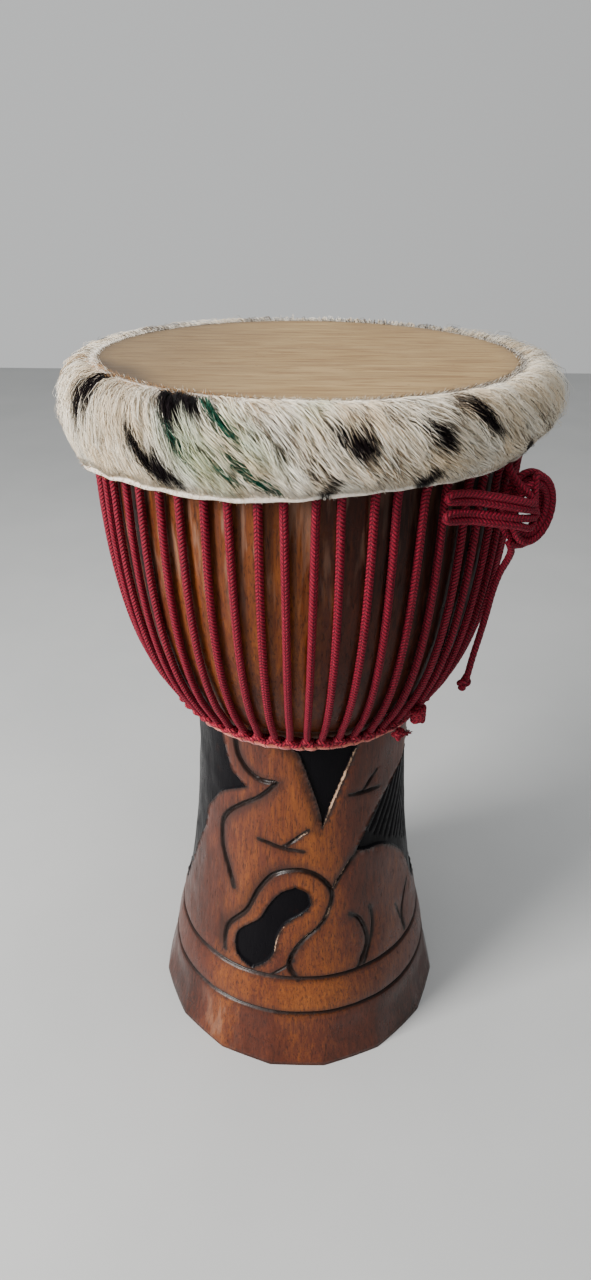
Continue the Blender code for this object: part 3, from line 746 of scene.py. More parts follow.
def make_light():
    """A window to the left, a weak fill, and a pale room."""
    for light in LIGHTS:
        area_light(*light)
    world = bpy.data.worlds.new("room")
    bpy.context.scene.world = world
    world.use_nodes = True
    nodes = world.node_tree.nodes
    links = world.node_tree.links
    back = nodes["Background"]
    back.inputs["Color"].default_value = (*WALL_GREY, 1.0)
    direction = nodes.new("ShaderNodeTexCoord")
    towards = nodes.new("ShaderNodeVectorMath")
    towards.operation = "DOT_PRODUCT"
    towards.inputs[1].default_value = ROOM_SLOPE
    links.new(direction.outputs["Generated"], towards.inputs[0])
    level = nodes.new("ShaderNodeMath")
    level.operation = "ADD"
    links.new(towards.outputs["Value"], level.inputs[0])
    level.inputs[1].default_value = ROOM_LEVEL
    links.new(level.outputs["Value"], back.inputs["Strength"])


make_floor()
make_light()


# Spare rope: one length that is folded into bights, wound into a coil and then hangs free

COIL_CENTRE = np.array((0.1430, -0.1030, 0.5210))
COIL_ACROSS = np.array((0.893, 0.451, 0.0))
COIL_OUT = np.array((0.451, -0.893, 0.0))
COIL_HALF_WIDTH = 0.0155
COIL_HALF_HEIGHT = 0.0215
COIL_TURNS = 4.62
COIL_SPREAD = 0.0044
COIL_STARTS = 92.0
COIL_PACK_START = 60.0
COIL_PACK_END = 345.0
COIL_STEPS_PER_TURN = 30
BIGHTS_ROUTE = (
    (30.8, 0.1655, 0.5350),
    (36.5, 0.1665, 0.5330),
    (42.0, 0.1745, 0.5295),
    (47.5, 0.1815, 0.5250),
    (52.0, 0.1840, 0.5215),
)
BIGHT_SPACING = 0.0050
BIGHT_GAP = 0.0012
TAIL_ROUTE = (
    (0.1360, -0.1045, 0.4935),
    (0.1352, -0.0990, 0.4830),
    (0.1328, -0.0925, 0.4705),
    (0.1310, -0.0865, 0.4525),
    (0.1300, -0.0825, 0.4350),
    (0.1278, -0.0790, 0.4140),
    (0.1250, -0.0780, 0.3960),
    (0.1228, -0.0780, 0.3805),
)
TAIL_KNOT_CENTRE = (0.1208, -0.0778, 0.3732)
SPARE_EXIT = tuple(places(49.0, 0.1655, 0.5530))
SPARE_LEAD = tuple(places(49.5, 0.1705, 0.5440))
SPARE_STEP = 0.0022
SPARE_EASING = 4


BIGHT_LEVELS = (1.5, 0.5, -0.5, -1.5)
BIGHT_OPENING = (1.0, 1.0, 0.9, 0.55, 0.0)


def bight_run(level, leftwards):
    """One run of rope through the bights, this many ropes above their middle."""
    angles, radii, heights = np.array(BIGHTS_ROUTE).T
    opening = np.array(BIGHT_OPENING) * BIGHT_GAP * np.sign(level)
    run = places(angles, radii, heights + level * BIGHT_SPACING + opening)
    return run[::-1] if leftwards else run


HAIRPIN_TURNS = (52.0, 90.0, 128.0)
HAIRPIN_WIDTH = 1.12
HAIRPIN_REACH = 1.15
HAIRPIN_LEAD = 0.10


def hairpin(start, end, outward):
    """The tight turn that joins two runs."""
    half = (end - start) / 2.0
    turns = np.radians(HAIRPIN_TURNS)[:, None]
    bulge = np.linalg.norm(half) * (np.sin(turns) * HAIRPIN_REACH + HAIRPIN_LEAD)
    return (start + end) / 2.0 - half * np.cos(turns) * HAIRPIN_WIDTH + outward * bulge


def coil_turns():
    """All turns of the coil, each beside the last round one bundle."""
    count = int(COIL_TURNS * COIL_STEPS_PER_TURN)
    share = np.linspace(0.0, 1.0, count)
    turn = np.radians(COIL_STARTS) - TAU * COIL_TURNS * share
    pack = np.radians(COIL_PACK_START + (COIL_PACK_END - COIL_PACK_START) * share)
    wide = COIL_HALF_WIDTH + COIL_SPREAD * np.cos(pack)
    tall = COIL_HALF_HEIGHT + COIL_SPREAD * np.cos(pack)
    path = COIL_CENTRE + COIL_ACROSS * (wide * np.cos(turn))[:, None]
    path = path + COIL_OUT * (COIL_SPREAD * np.sin(pack))[:, None]
    path[:, 2] += tall * np.sin(turn)
    return path


def eased(path, passes):
    """The same route with its corners rounded and its ends kept."""
    path = path.copy()
    for _ in range(passes):
        path[1:-1] = 0.25 * path[:-2] + 0.5 * path[1:-1] + 0.25 * path[2:]
    return path


def spare_rope_path():
    """The whole spare rope, from under the collar to its knot."""
    angle, radius, _ = BIGHTS_ROUTE[0]
    left = places(angle - 8.0, radius, 0.0) - places(angle, radius, 0.0)
    left = left / np.linalg.norm(left)
    runs = [np.array([SPARE_EXIT, SPARE_LEAD])]
    for index, level in enumerate(BIGHT_LEVELS):
        turns_left = index % 2 == 0
        runs.append(bight_run(level, leftwards=turns_left))
        if index < len(BIGHT_LEVELS) - 1:
            turn = -1 if turns_left else 0
            start = bight_run(level, True)[turn]
            end = bight_run(BIGHT_LEVELS[index + 1], True)[turn]
            runs.append(hairpin(start, end, left if turns_left else -left))
    runs.append(coil_turns())
    runs.append(np.array(TAIL_ROUTE))
    return smooth_path(eased(smooth_path(np.vstack(runs), SPARE_STEP), SPARE_EASING), SPARE_STEP)


KNOT_FLATNESS = 1.2


def trefoil(centre, size, turn_up=0.0, stretch=1.0):
    """The path of a small overhand knot."""
    turn = np.linspace(0.0, TAU, 64, endpoint=False)
    across = np.sin(turn) + 2.0 * np.sin(2.0 * turn)
    ahead = -np.sin(3.0 * turn) * KNOT_FLATNESS
    up = (np.cos(turn) - 2.0 * np.cos(2.0 * turn)) * stretch
    tilt = np.array(Matrix.Rotation(turn_up, 3, "Z"))
    return (np.stack([across, ahead, up], axis=1) * size) @ tilt.T + np.asarray(centre)


spare_material = rope_material("spare_rope", ROPE_RED, ROPE_FLUFF_HIGHLIGHT)
lacing_material = rope_material("lacing_rope", ROPE_RED, ROPE_FLUFF_HIGHLIGHT)
band_material = rope_material("waist_rope", BAND_RED, BAND_FLUFF_HIGHLIGHT)

KNOT_SIZE = 0.00138
KNOT_TURN = 0.6
KNOT_ROPE = 0.0020
KNOT_BUTTON = 0.00289
KNOT_NECK = ((0.0020, -0.0002, 0.0078), (0.0010, 0.0, 0.0040), (-0.0006, 0.0, 0.0), (-0.0014, 0.0, -0.0060))


def make_spare_rope():
    """The spare rope and its knot."""
    path = spare_rope_path()
    shape = Shape()
    add_rope(shape, path, FREE_ROPE)
    rope = shape.make("spare_rope", spare_material)
    shape = Shape()
    add_rope(shape, trefoil(TAIL_KNOT_CENTRE, KNOT_SIZE, KNOT_TURN), KNOT_ROPE, closed=True)
    neck = smooth_path(np.array(TAIL_KNOT_CENTRE) + np.array(KNOT_NECK), 0.0012)
    add_rope(shape, neck, KNOT_BUTTON, ends=(0.8, 0.7))
    knot = shape.make("spare_rope_knot", spare_material)
    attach(rope, "root")
    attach(knot, "root")
    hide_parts("hank_coil", "hank_bights", "rope_tail")
    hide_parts("tail_knot")


make_spare_rope()


# Lacing

LACING_STEP = 0.0024
LACING_WANDER = 0.45
LACING_UNEVEN = 0.35
LACING_RELIEF = 0.035
LEG_FOOT_RADIUS = 0.1078
LEG_FOOT_HEIGHT = 0.3402
LEG_TOP_HEIGHT = 0.5747
LEG_BEND_HEIGHT = 0.5647
LEG_HEIGHTS = (0.3560, 0.3720, 0.3960, 0.4260, 0.4600, 0.4950, 0.5250, 0.5450)
LEG_STANDOFF = 0.0004
TURN_INSET = 0.0030
TURN_DROP = 0.0040


def leg_path(foot_angle, top_angle, wander):
    """One upright of the lacing, hugging the bowl from the waist up to the head."""
    heights = np.array(LEG_HEIGHTS)
    share = (heights - LEG_FOOT_HEIGHT) / (LEG_TOP_HEIGHT - LEG_FOOT_HEIGHT)
    angles = foot_angle + (top_angle - foot_angle) * share + wander * np.sin(math.pi * share)
    radii = bowl_radius(heights) + (ROPE + LEG_STANDOFF) * np.hypot(1.0, bowl_slope(heights))
    taut = LEG_FOOT_RADIUS + (TOP_CRADLE_RADIUS - LEG_FOOT_RADIUS) * share
    radii = np.maximum(radii, taut)
    foot = places(foot_angle, LEG_FOOT_RADIUS, LEG_FOOT_HEIGHT)
    crown = places(top_angle, TOP_CRADLE_RADIUS, (LEG_BEND_HEIGHT, LEG_TOP_HEIGHT))
    return np.vstack([foot[None], places(angles, radii, heights), crown])


def lacing_path(random):
    """One rope up and down all round the bowl."""
    pitch = 360.0 / LOOPS
    route = []
    for index in range(LOOPS):
        middle = FIRST_LOOP + pitch * index
        for side, rising in ((-1.0, True), (1.0, False)):
            foot = middle + side * pitch / 4.0 + random.uniform(-LACING_UNEVEN, LACING_UNEVEN)
            top = middle + side * (TOP_PAIR_SPREAD + random.uniform(-LACING_UNEVEN, LACING_UNEVEN))
            leg = leg_path(foot, top, random.uniform(-LACING_WANDER, LACING_WANDER))
            route.append(leg if rising else leg[::-1])
        below = places(middle + pitch / 2.0, LEG_FOOT_RADIUS - TURN_INSET, LEG_FOOT_HEIGHT - TURN_DROP)
        route.append(below[None])
    return smooth_path(np.vstack(route), LACING_STEP, closed=True)


def make_lacing():
    """The lacing, one braided rope up and down between head and waist."""
    path = lacing_path(np.random.default_rng(11))[:-1]
    shape = Shape()
    add_rope(shape, path, ROPE, closed=True, relief=LACING_RELIEF)
    rope = shape.make("lacing_rope_braided", lacing_material)
    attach(rope, "root")
    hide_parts("lacing_rope")


CHAIN_LINKS = 56
CHAIN_STEPS = 12
CHAIN_OUT = 0.0008
CHAIN_SWING = 0.0020
CHAIN_LIFT = 0.0016
CHAIN_SLACK = 0.0005
CHAIN_ROPE = 0.0023


def chain_path(phase, random):
    """One strand of the twisted band at the waist, which crosses the other at every upright."""
    count = CHAIN_LINKS * CHAIN_STEPS
    turn = np.arange(count) / count
    angle = FIRST_LOOP + 360.0 * turn
    twist = TAU * turn * CHAIN_LINKS / 2.0 + phase
    links = np.linspace(0.0, 1.0, CHAIN_LINKS + 1)
    slack = np.interp(turn, links, np.append(random.uniform(-1, 1, CHAIN_LINKS), 0.0) * CHAIN_SLACK)
    radii = WAIST_CRADLE_RADIUS + CHAIN_SWING * np.cos(twist) + CHAIN_OUT
    heights = WAIST_CRADLE_HEIGHT + CHAIN_LIFT * np.sin(twist) + slack
    return places(angle, radii, heights)


LUMP_TURNS = (-0.25, 0.80)
LUMP_POINTS = 9
LUMP_INSET = 0.0008
LUMP_DROP = 0.0018
LUMP_DEPTH = 0.0034
LUMP_DEGREES = 1.55
LUMP_LEAN = 0.4
LUMP_WIND = (0.0022, -0.0026)
LUMP_UNEVEN = 0.0006
LUMP_ROPE = 0.0020


def upright_lump(angle, random):
    """A short turn of the band's rope over the foot of one upright."""
    turn = np.linspace(*LUMP_TURNS, LUMP_POINTS) * TAU
    lean = random.uniform(-LUMP_LEAN, LUMP_LEAN)
    radii = LEG_FOOT_RADIUS - LUMP_INSET + LUMP_DEPTH * np.cos(turn)
    angles = angle + LUMP_DEGREES * np.sin(turn) + lean
    wind = np.linspace(*LUMP_WIND, LUMP_POINTS)
    heights = LEG_FOOT_HEIGHT - LUMP_DROP + wind + random.uniform(-LUMP_UNEVEN, LUMP_UNEVEN)
    return places(angles, radii, heights)


def make_waist_band():
    """Twisted band of rope at the waist with a lump at the foot of every upright."""
    random = np.random.default_rng(5)
    shape = Shape()
    for phase in (0.0, math.pi):
        add_rope(shape, chain_path(phase, random), CHAIN_ROPE, closed=True)
    for index in range(CHAIN_LINKS):
        angle = FIRST_LOOP + 360.0 / LOOPS / 4.0 + 360.0 * index / CHAIN_LINKS
        lump = smooth_path(upright_lump(angle, random), 0.0017)
        add_rope(shape, lump, LUMP_ROPE, sides=8, ends=(0.7, 0.7))
    band = shape.make("waist_band", band_material)
    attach(band, "root")
    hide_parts("bottom_loops")


CLOTH_OUT = 0.0027
CLOTH_SAG = 0.0042
CLOTH_COLUMNS = 360
CLOTH_SIDES = 12
CLOTH_THICKER = 1.12
CLOTH_TALLER = 1.08
CLOTH_BUNCHING = 0.16
CLOTH_BUNCHES = (23, 37, 56, 71)


def make_cloth_ring():
    """The waist ring in its winding of cloth, which bunches unevenly."""
    random = np.random.default_rng(8)
    turn = TAU * np.arange(CLOTH_COLUMNS) / CLOTH_COLUMNS
    bunch = 0.0
    for waves in CLOTH_BUNCHES:
        bunch = bunch + random.uniform(0.2, 0.5) * np.cos(waves * turn + random.uniform(0.0, TAU))
    size = (WAIST_RING_ROD * (CLOTH_THICKER + CLOTH_BUNCHING * bunch))[:, None]
    around = (TAU * np.arange(CLOTH_SIDES) / CLOTH_SIDES)[None, :]
    radii = WAIST_RING_RADIUS + CLOTH_OUT + size * np.cos(around)
    heights = WAIST_RING_HEIGHT - CLOTH_SAG + size * np.sin(around) * CLOTH_TALLER
    points = places(np.degrees(turn)[:, None], radii, heights).reshape(-1, 3)
    layout = ring_layout(turn * WAIST_RING_RADIUS, CLOTH_SIDES, True)
    shape = Shape()
    shape.add(points, ring_faces(CLOTH_COLUMNS, CLOTH_SIDES, True), layout)
    ring = shape.make("waist_ring_cloth", cloth_material())
    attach(ring, "root")
    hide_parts("bottom_ring")


HITCH_INSET = 0.0005
HITCH_SWING = 0.0012
HITCH_LIFT = 0.0032
HITCH_ROPE = 0.00225


def make_head_cradle():
    """Rope cradle hitched round the crown ring, mostly hidden by the collar."""
    count = LOOPS * 24
    turn = np.arange(count) / count
    hitch = TAU * turn * LOOPS * 2.0
    radii = TOP_CRADLE_RADIUS - HITCH_INSET + HITCH_SWING * np.cos(hitch)
    heights = CROWN_RING_HEIGHT + HITCH_LIFT * np.sin(hitch)
    shape = Shape()
    add_rope(shape, places(FIRST_LOOP + 360.0 * turn, radii, heights), HITCH_ROPE, closed=True)
    cradle = shape.make("head_cradle", lacing_material)
    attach(cradle, "root")
    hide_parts("top_loops")


TIE_KNOT = (39.5, 0.1145, 0.3330)
TIE_KNOT_SIZE = 0.00135
TIE_KNOT_STRETCH = 0.8
# The knot's free end, as distances aside and down from its middle
TIE_END = ((0.0, 0.0), (0.004, 0.001), (0.0075, 0.0022))
TIE_WRAPS = (44.0, 0.1245, 0.3520)
TIE_TURNS = 3.2
TIE_STEPS = 60
TIE_DEPTH = 0.0034
TIE_WIDTH = 0.0048
TIE_HEIGHT = 0.0105
TIE_SLANT = 0.0012
TIE_CORE = 0.0034
TIE_CORE_REACH = np.array((0.0, 0.0, 0.007))
TIE_ROPE = 0.0022
YARNS = 14
YARN = 0.00042
YARN_LENGTHS = (0.004, 0.0075)
YARN_SPREAD = 0.32
YARN_BEND = 0.0010


def frayed_end(shape, root, direction, random):
    """Loose yarns at a cut end."""
    for _ in range(YARNS):
        spread = direction + random.normal(0.0, YARN_SPREAD, 3)
        spread /= np.linalg.norm(spread)
        bend = random.normal(0.0, YARN_BEND, 3)
        length = random.uniform(*YARN_LENGTHS)
        path = np.array([root, root + spread * length * 0.5 + bend, root + spread * length + bend * 0.5])
        add_rope(shape, smooth_path(path, 0.0012), YARN, sides=5, ends=(1.0, 0.3), relief=0.0)


def outward_and_aside(angle):
    """Directions straight out from the drum, and round it, at an angle."""
    return places(angle, 1.0, 0.0), places(angle + 90.0, 1.0, 0.0)


def make_tie_knot():
    """The knot that ends the band's rope, with a frayed end."""
    centre = places(*TIE_KNOT)
    outward, aside = outward_and_aside(TIE_KNOT[0])
    shape = Shape()
    knot_path = trefoil(centre, TIE_KNOT_SIZE, math.radians(TIE_KNOT[0]), TIE_KNOT_STRETCH)
    add_rope(shape, knot_path, TIE_ROPE, closed=True)
    end = np.array([centre + aside * away - np.array((0.0, 0.0, drop)) for away, drop in TIE_END])
    add_rope(shape, smooth_path(end, 0.0012), TIE_ROPE * 0.85, ends=(1.0, 0.8))
    frayed_end(shape, end[-1] - aside * 0.002, aside * 0.8 + outward * 0.3, np.random.default_rng(21))
    knot = shape.make("tie_off_knot_rope", band_material)
    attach(knot, "root")
    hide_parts("tie_off_knot")


def make_tie_wraps():
    """The wraps of the band's rope round two uprights."""
    centre = places(*TIE_WRAPS)
    outward, aside = outward_and_aside(TIE_WRAPS[0])
    turns = np.linspace(0.0, TIE_TURNS, TIE_STEPS)
    angle = TAU * turns
    path = centre + outward * (TIE_DEPTH * np.cos(angle))[:, None]
    path = path + aside * (TIE_WIDTH * np.sin(angle))[:, None]
    path[:, 2] += (turns / TIE_TURNS - 0.5) * TIE_HEIGHT + TIE_SLANT * np.sin(angle)
    shape = Shape()
    add_rope(shape, resample(path, 0.0018), TIE_ROPE * 0.95, ends=(0.8, 0.8))
    core = np.array([centre - TIE_CORE_REACH, centre + TIE_CORE_REACH])
    add_rope(shape, resample(core, 0.002), TIE_CORE, ends=(0.5, 0.5))
    wraps = shape.make("tie_off_wraps_rope", band_material)
    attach(wraps, "root")
    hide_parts("tie_off_wraps")


def make_tie_off():
    """Where the band's rope is tied off."""
    make_tie_knot()
    make_tie_wraps()


make_lacing()
make_waist_band()
make_cloth_ring()
make_head_cradle()
make_tie_off()
for name in ("crown_ring", "flesh_ring"):
    bpy.data.objects[name].data.materials[0] = steel_material()


# Carving on the stem: angles in degrees and heights in metres

CARVED_TOP = 0.3275
LEFT_FIELD = (
    (-47, CARVED_TOP), (-40, 0.291), (-35, 0.281), (-29, 0.275), (-45, 0.259), (-53, 0.242), (-58, 0.229),
    (-60, 0.209), (-71, 0.164), (-84, 0.110), (-96, 0.106), (-108, 0.118), (-122, 0.170), (-130, 0.250),
    (-124, CARVED_TOP),
)
RIGHT_FIELD = (
    (74, CARVED_TOP), (69, 0.283), (54, 0.266), (45, 0.254), (38, 0.241), (32, 0.225), (28, 0.213),
    (34, 0.2095), (45, 0.205), (56, 0.191), (67, 0.167), (80, 0.122), (90, 0.112), (108, 0.124),
    (122, 0.180), (128, 0.260), (120, CARVED_TOP),
)
BROW_FIELD = (
    (-11, CARVED_TOP), (-6, 0.321), (-2, 0.313), (3, 0.289), (8, 0.262), (10, 0.243), (27, 0.316),
    (29, CARVED_TOP),
)
TRUNK_FIELD = (
    (-32, 0.112), (-31, 0.125), (-26, 0.136), (-20, 0.147), (-16, 0.162), (-10, 0.177), (-3, 0.184),
    (3, 0.178), (5, 0.165), (2, 0.158), (-7, 0.145), (-11, 0.131), (-12, 0.115), (-16, 0.102),
    (-22, 0.0925), (-30, 0.100),
)
EAR_CUT = (
    (-36, CARVED_TOP), (-36, 0.315), (-34, 0.303), (-29, 0.292), (-22, 0.286), (-13, 0.286), (-22, 0.269),
    (-32, 0.256), (-41, 0.241), (-45, 0.226), (-44, 0.205), (-38, 0.180), (-35, 0.168),
)
TRUNK_CUT = (
    (-37, 0.100), (-38, 0.112), (-36, 0.128), (-27, 0.150), (-21, 0.176), (-13, 0.195), (-1, 0.201),
    (9, 0.193), (15, 0.176), (13, 0.157), (9, 0.143), (2, 0.131), (-3, 0.117), (-5, 0.102), (-1, 0.089),
)
LIP_CUT = ((-14, 0.090), (-8, 0.099), (-3, 0.108))
CHIN_CUT = ((15, 0.178), (21, 0.194), (28, 0.211))
LEFT_EYE_CUT = ((-22, 0.228), (-15, 0.225), (-8, 0.222), (1, 0.2205))
LEFT_LID_CUT = ((-9, 0.2245), (-4, 0.231), (3, 0.242))
RIGHT_EYE_CUT = ((24, 0.2715), (32, 0.2695), (42, 0.268))
RIGHT_LID_CUT = ((31, 0.271), (35, 0.277), (40, 0.286))
NEAR_TOE_CUT = ((24, 0.150), (29, 0.141), (32, 0.128), (33, 0.115), (31, 0.104), (27, 0.092))
MIDDLE_TOE_CUT = ((35, 0.150), (36.5, 0.138), (36, 0.124), (34, 0.108), (30, 0.093))
FAR_TOE_CUT = ((67, 0.139), (62, 0.128), (58.5, 0.112), (59, 0.094))
LITTLE_TOE_CUT = ((53, 0.131), (55, 0.122), (56.5, 0.110))
BACK_LEFT_CUT = ((-150, 0.300), (-142, 0.250), (-150, 0.200), (-146, 0.150), (-132, 0.110))
BACK_RIGHT_CUT = ((150, 0.300), (140, 0.255), (150, 0.210), (147, 0.160), (134, 0.112))

# Line, half width, depth, and the side that slopes down to it: 1 left of its run, -1 right, 0 both
CUTS = (
    (EAR_CUT, 0.0025, 0.0029, 1),
    (TRUNK_CUT, 0.0025, 0.0030, 1),
    (LIP_CUT, 0.0016, 0.0016, 0),
    (CHIN_CUT, 0.0021, 0.0026, -1),
    (LEFT_EYE_CUT, 0.0021, 0.0028, 0),
    (LEFT_LID_CUT, 0.0023, 0.0028, 0),
    (RIGHT_EYE_CUT, 0.0021, 0.0026, 0),
    (RIGHT_LID_CUT, 0.0019, 0.0024, 0),
    (NEAR_TOE_CUT, 0.0024, 0.0029, -1),
    (MIDDLE_TOE_CUT, 0.0020, 0.0024, 1),
    (FAR_TOE_CUT, 0.0022, 0.0026, 0),
    (LITTLE_TOE_CUT, 0.0013, 0.0012, 0),
    (BACK_LEFT_CUT, 0.0025, 0.0029, 1),
    (BACK_RIGHT_CUT, 0.0025, 0.0029, -1),
)

# Broad slopes beside the cuts: line, width, depth, side as above, and how dark the painted shade lies on them
SLOPES = (
    (BROW_FIELD[:6], 0.0095, 0.0022, -1, 1.0),
    (EAR_CUT[:5], 0.0090, 0.0018, 1, 0.85),
    (EAR_CUT[5:10], 0.0118, 0.0018, 1, 0.75),
    (EAR_CUT[9:], 0.0100, 0.0014, 1, 0.65),
    (TRUNK_CUT[:7], 0.0115, 0.0016, 1, 0.70),
    (CHIN_CUT, 0.0080, 0.0014, 1, 0.80),
    (TRUNK_CUT[11:], 0.0070, 0.0010, 1, 0.70),
)

# Cut edges that get a painted glint of pale wood colour, standing in for light caught on their steep facets
EDGE_GLINTS = (
    ((10.3, 0.2435), (14, 0.262), (20, 0.288), (27, 0.3155)),
    ((-4, 0.2305), (-1, 0.2345), (2.6, 0.2405)),
    ((9.2, 0.1430), (12.5, 0.1515), (14.6, 0.1620)),
    ((-4, 0.1165), (1, 0.1290), (7, 0.1395)),
    ((4.8, 0.1600), (1.8, 0.1560), (-6.6, 0.1440), (-10.8, 0.1300), (-12.0, 0.1160)),
    ((-28.5, 0.1335), (-21.0, 0.1480), (-17.0, 0.1630), (-10.5, 0.1785), (-4.5, 0.1850)),
    ((15.5, 0.179), (20, 0.191), (26.5, 0.208)),
)

LOWER_RING = 0.052
UPPER_RING = 0.088
RING_WAVE = 0.0020
RING_HALF_WIDTH = 0.0024
RING_DEPTH = 0.0029
FURROW_LINES = 21
FURROW_TOP = (71.0, 0.322)
FURROW_FOOT = (37.0, 0.226)
FURROW_TOP_STEP = 2.6
FURROW_FOOT_STEP = 4.0
FURROW_TOP_DROP = 0.003
FURROW_FOOT_DROP = 0.005
FURROW_WOBBLE = 0.9
FURROW_HALF_WIDTH = 0.0014
FURROW_DEPTH = 0.0013
FURROW_MARGIN = 0.004

FLAT_RADIUS = 0.100
CARVE_REACH = 0.012
FIELD_DEPTH = 0.0028
FIELD_SLOPE = 0.0016
PAINT_EDGE = 0.0004
CREST = 0.0005
BEVEL_WIDTH = 0.0085
BEVEL_DEPTH = 0.0017
BEVEL_FALL = 1.6
FIELD_BEVEL_WIDTH = 0.006
FIELD_BEVEL_DEPTH = 0.0009
RING_BEVEL_WIDTH = 0.007
RING_BEVEL_DEPTH = 0.0007
GROOVE_FALL = 1.2
CUT_TIP = 0.35
CUT_TIP_LENGTH = 0.012
CUT_STAIN_WIDTH = 0.0021
SLOPE_REACH = 0.013
LINE_STEP = 0.0022
LONGEST_LINK = 3.0 * LINE_STEP
GRID_COLUMNS = 176
GRID_ROWS = 94
GRID_CLEARANCE = 0.0031
LAYOUT_MARGIN = 0.002
MERGE_WITHIN = 0.00004
RIM_COLUMNS = 352
FOOT_FLATS = 16
FOOT_FLAT_TURN = -11.0
FOOT_FLAT_SWAY = 2.0
FOOT_FLAT_STRENGTH = 0.75
FOOT_FLAT_GAP = 0.006
FOOT_FLAT_FADE = 0.015
SHARP_CORNER = 50.0
PRODUCTS_AT_ONCE = 2000000
TINY = 1e-6


def flat(spots):
    """Places on the stem laid out flat."""
    spots = np.asarray(spots, float)
    return np.stack([np.radians(spots[:, 0]) * FLAT_RADIUS, spots[:, 1]], axis=1)


def soften(points, closed):
    """A smooth line through the points that keeps its sharp corners."""
    runs = np.diff(np.vstack([points, points[:1]]) if closed else points, axis=0)
    headings = np.degrees(np.arctan2(runs[:, 1], runs[:, 0]))
    count = len(points)
    sharp = []
    for index in range(count):
        if not closed and index in (0, count - 1):
            sharp.append(index)
            continue
        bend = (headings[index % len(headings)] - headings[index - 1] + 180.0) % 360.0 - 180.0
        if abs(bend) > SHARP_CORNER:
            sharp.append(index)
    if closed and not sharp:
        return smooth_path(points, LINE_STEP, closed=True)[:-1]
    if closed:
        points = np.roll(points, -sharp[0], axis=0)
        sharp = [index - sharp[0] for index in sharp] + [count]
        points = np.vstack([points, points[:1]])
    pieces = []
    for first, last in zip(sharp, sharp[1:]):
        stretch = points[first:last + 1]
        curve = smooth_path if len(stretch) > 2 else resample
        pieces.append(curve(stretch, LINE_STEP)[:-1])
    if not closed:
        pieces.append(points[-1:])
    return np.vstack(pieces)


def ring_line(height):
    """A slightly wavy cut all round the foot."""
    angles = np.linspace(-180.0, 180.0, 289)
    waves = RING_WAVE * np.cos(np.radians(2.0 * angles))
    return flat(np.stack([angles, height + waves], axis=1))


def furrow_lines():
    """Slanting tool cuts across the right field."""
    random = np.random.default_rng(4)
    top_angle, top_height = FURROW_TOP
    foot_angle, foot_height = FURROW_FOOT
    lines = []
    for index in range(FURROW_LINES):
        wobble = random.uniform(-FURROW_WOBBLE, FURROW_WOBBLE)
        top = (top_angle + FURROW_TOP_STEP * index + wobble, top_height - FURROW_TOP_DROP * index)
        foot = (foot_angle + FURROW_FOOT_STEP * index + wobble, foot_height - FURROW_FOOT_DROP * index)
        middle = ((top[0] + foot[0]) / 2.0 + random.uniform(1.0, 3.0), (top[1] + foot[1]) / 2.0)
        lines.append(flat([top, middle, foot]))
    return lines


def near_chunks(points, line, reach):
    """Numbers of the points within reach of a line's box, a portion at a time."""
    low = line.min(axis=0) - reach
    high = line.max(axis=0) + reach
    near = np.nonzero(np.all((points > low) & (points < high), axis=1))[0]
    return np.array_split(near, max(len(near) * (len(line) - 1) // PRODUCTS_AT_ONCE, 1))


def line_distance(points, line, reach):
    """Distance from each point to a broken line, no larger than reach."""
    result = np.full(len(points), reach)
    runs = np.diff(line, axis=0)
    lengths = np.maximum((runs ** 2).sum(axis=1), 1e-12)
    for chunk in near_chunks(points, line, reach):
        offset = points[chunk][:, None, :] - line[None, :-1]
        share = np.clip((offset * runs[None]).sum(axis=2) / lengths[None], 0.0, 1.0)
        gap = offset - share[:, :, None] * runs[None]
        result[chunk] = np.minimum(np.sqrt((gap ** 2).sum(axis=2)).min(axis=1), reach)
    return result


def side_of(points, line):
    """1 for points left of the line's run and -1 for those right of it, by its nearest piece."""
    middles = (line[:-1] + line[1:]) / 2.0
    runs = np.diff(line, axis=0)
    result = np.zeros(len(points))
    for chunk in near_chunks(points, line, SLOPE_REACH):
        offset = points[chunk][:, None, :] - middles[None]
        nearest = (offset ** 2).sum(axis=2).argmin(axis=1)
        away = offset[np.arange(len(chunk)), nearest]
        run = runs[nearest]
        result[chunk] = np.sign(run[:, 0] * away[:, 1] - run[:, 1] * away[:, 0])
    return result


def inside(points, outline):
    """Whether each point lies inside a closed outline."""
    odd = np.zeros(len(points), bool)
    for start, end in zip(outline, np.roll(outline, -1, axis=0)):
        spans = (start[1] > points[:, 1]) != (end[1] > points[:, 1])
        if start[1] != end[1]:
            crossing = start[0] + (points[:, 1] - start[1]) * (end[0] - start[0]) / (end[1] - start[1])
            odd ^= spans & (points[:, 0] < crossing)
    return odd


def sideways(line, distance, closed):
    """The line moved to its side."""
    if closed:
        runs = np.roll(line, -1, axis=0) - np.roll(line, 1, axis=0)
    else:
        runs = np.gradient(line, axis=0)
    runs /= np.maximum(np.linalg.norm(runs, axis=1), 1e-9)[:, None]
    return line + np.stack([-runs[:, 1], runs[:, 0]], axis=1) * distance


FIELDS = (LEFT_FIELD, RIGHT_FIELD, BROW_FIELD, TRUNK_FIELD)
FLAT_FIELDS = [soften(flat(outline), True) for outline in FIELDS]
FLAT_CUTS = [(soften(flat(line), False), *sizes) for line, *sizes in CUTS]
FLAT_FURROWS = [smooth_path(line, LINE_STEP) for line in furrow_lines()]
FLAT_RINGS = [ring_line(height) for height in (LOWER_RING, UPPER_RING)]
FLAT_SLOPES = [(soften(flat(line), False), *sizes) for line, *sizes in SLOPES]
FLAT_EDGE_GLINTS = [smooth_path(flat(line), LINE_STEP) for line in EDGE_GLINTS]


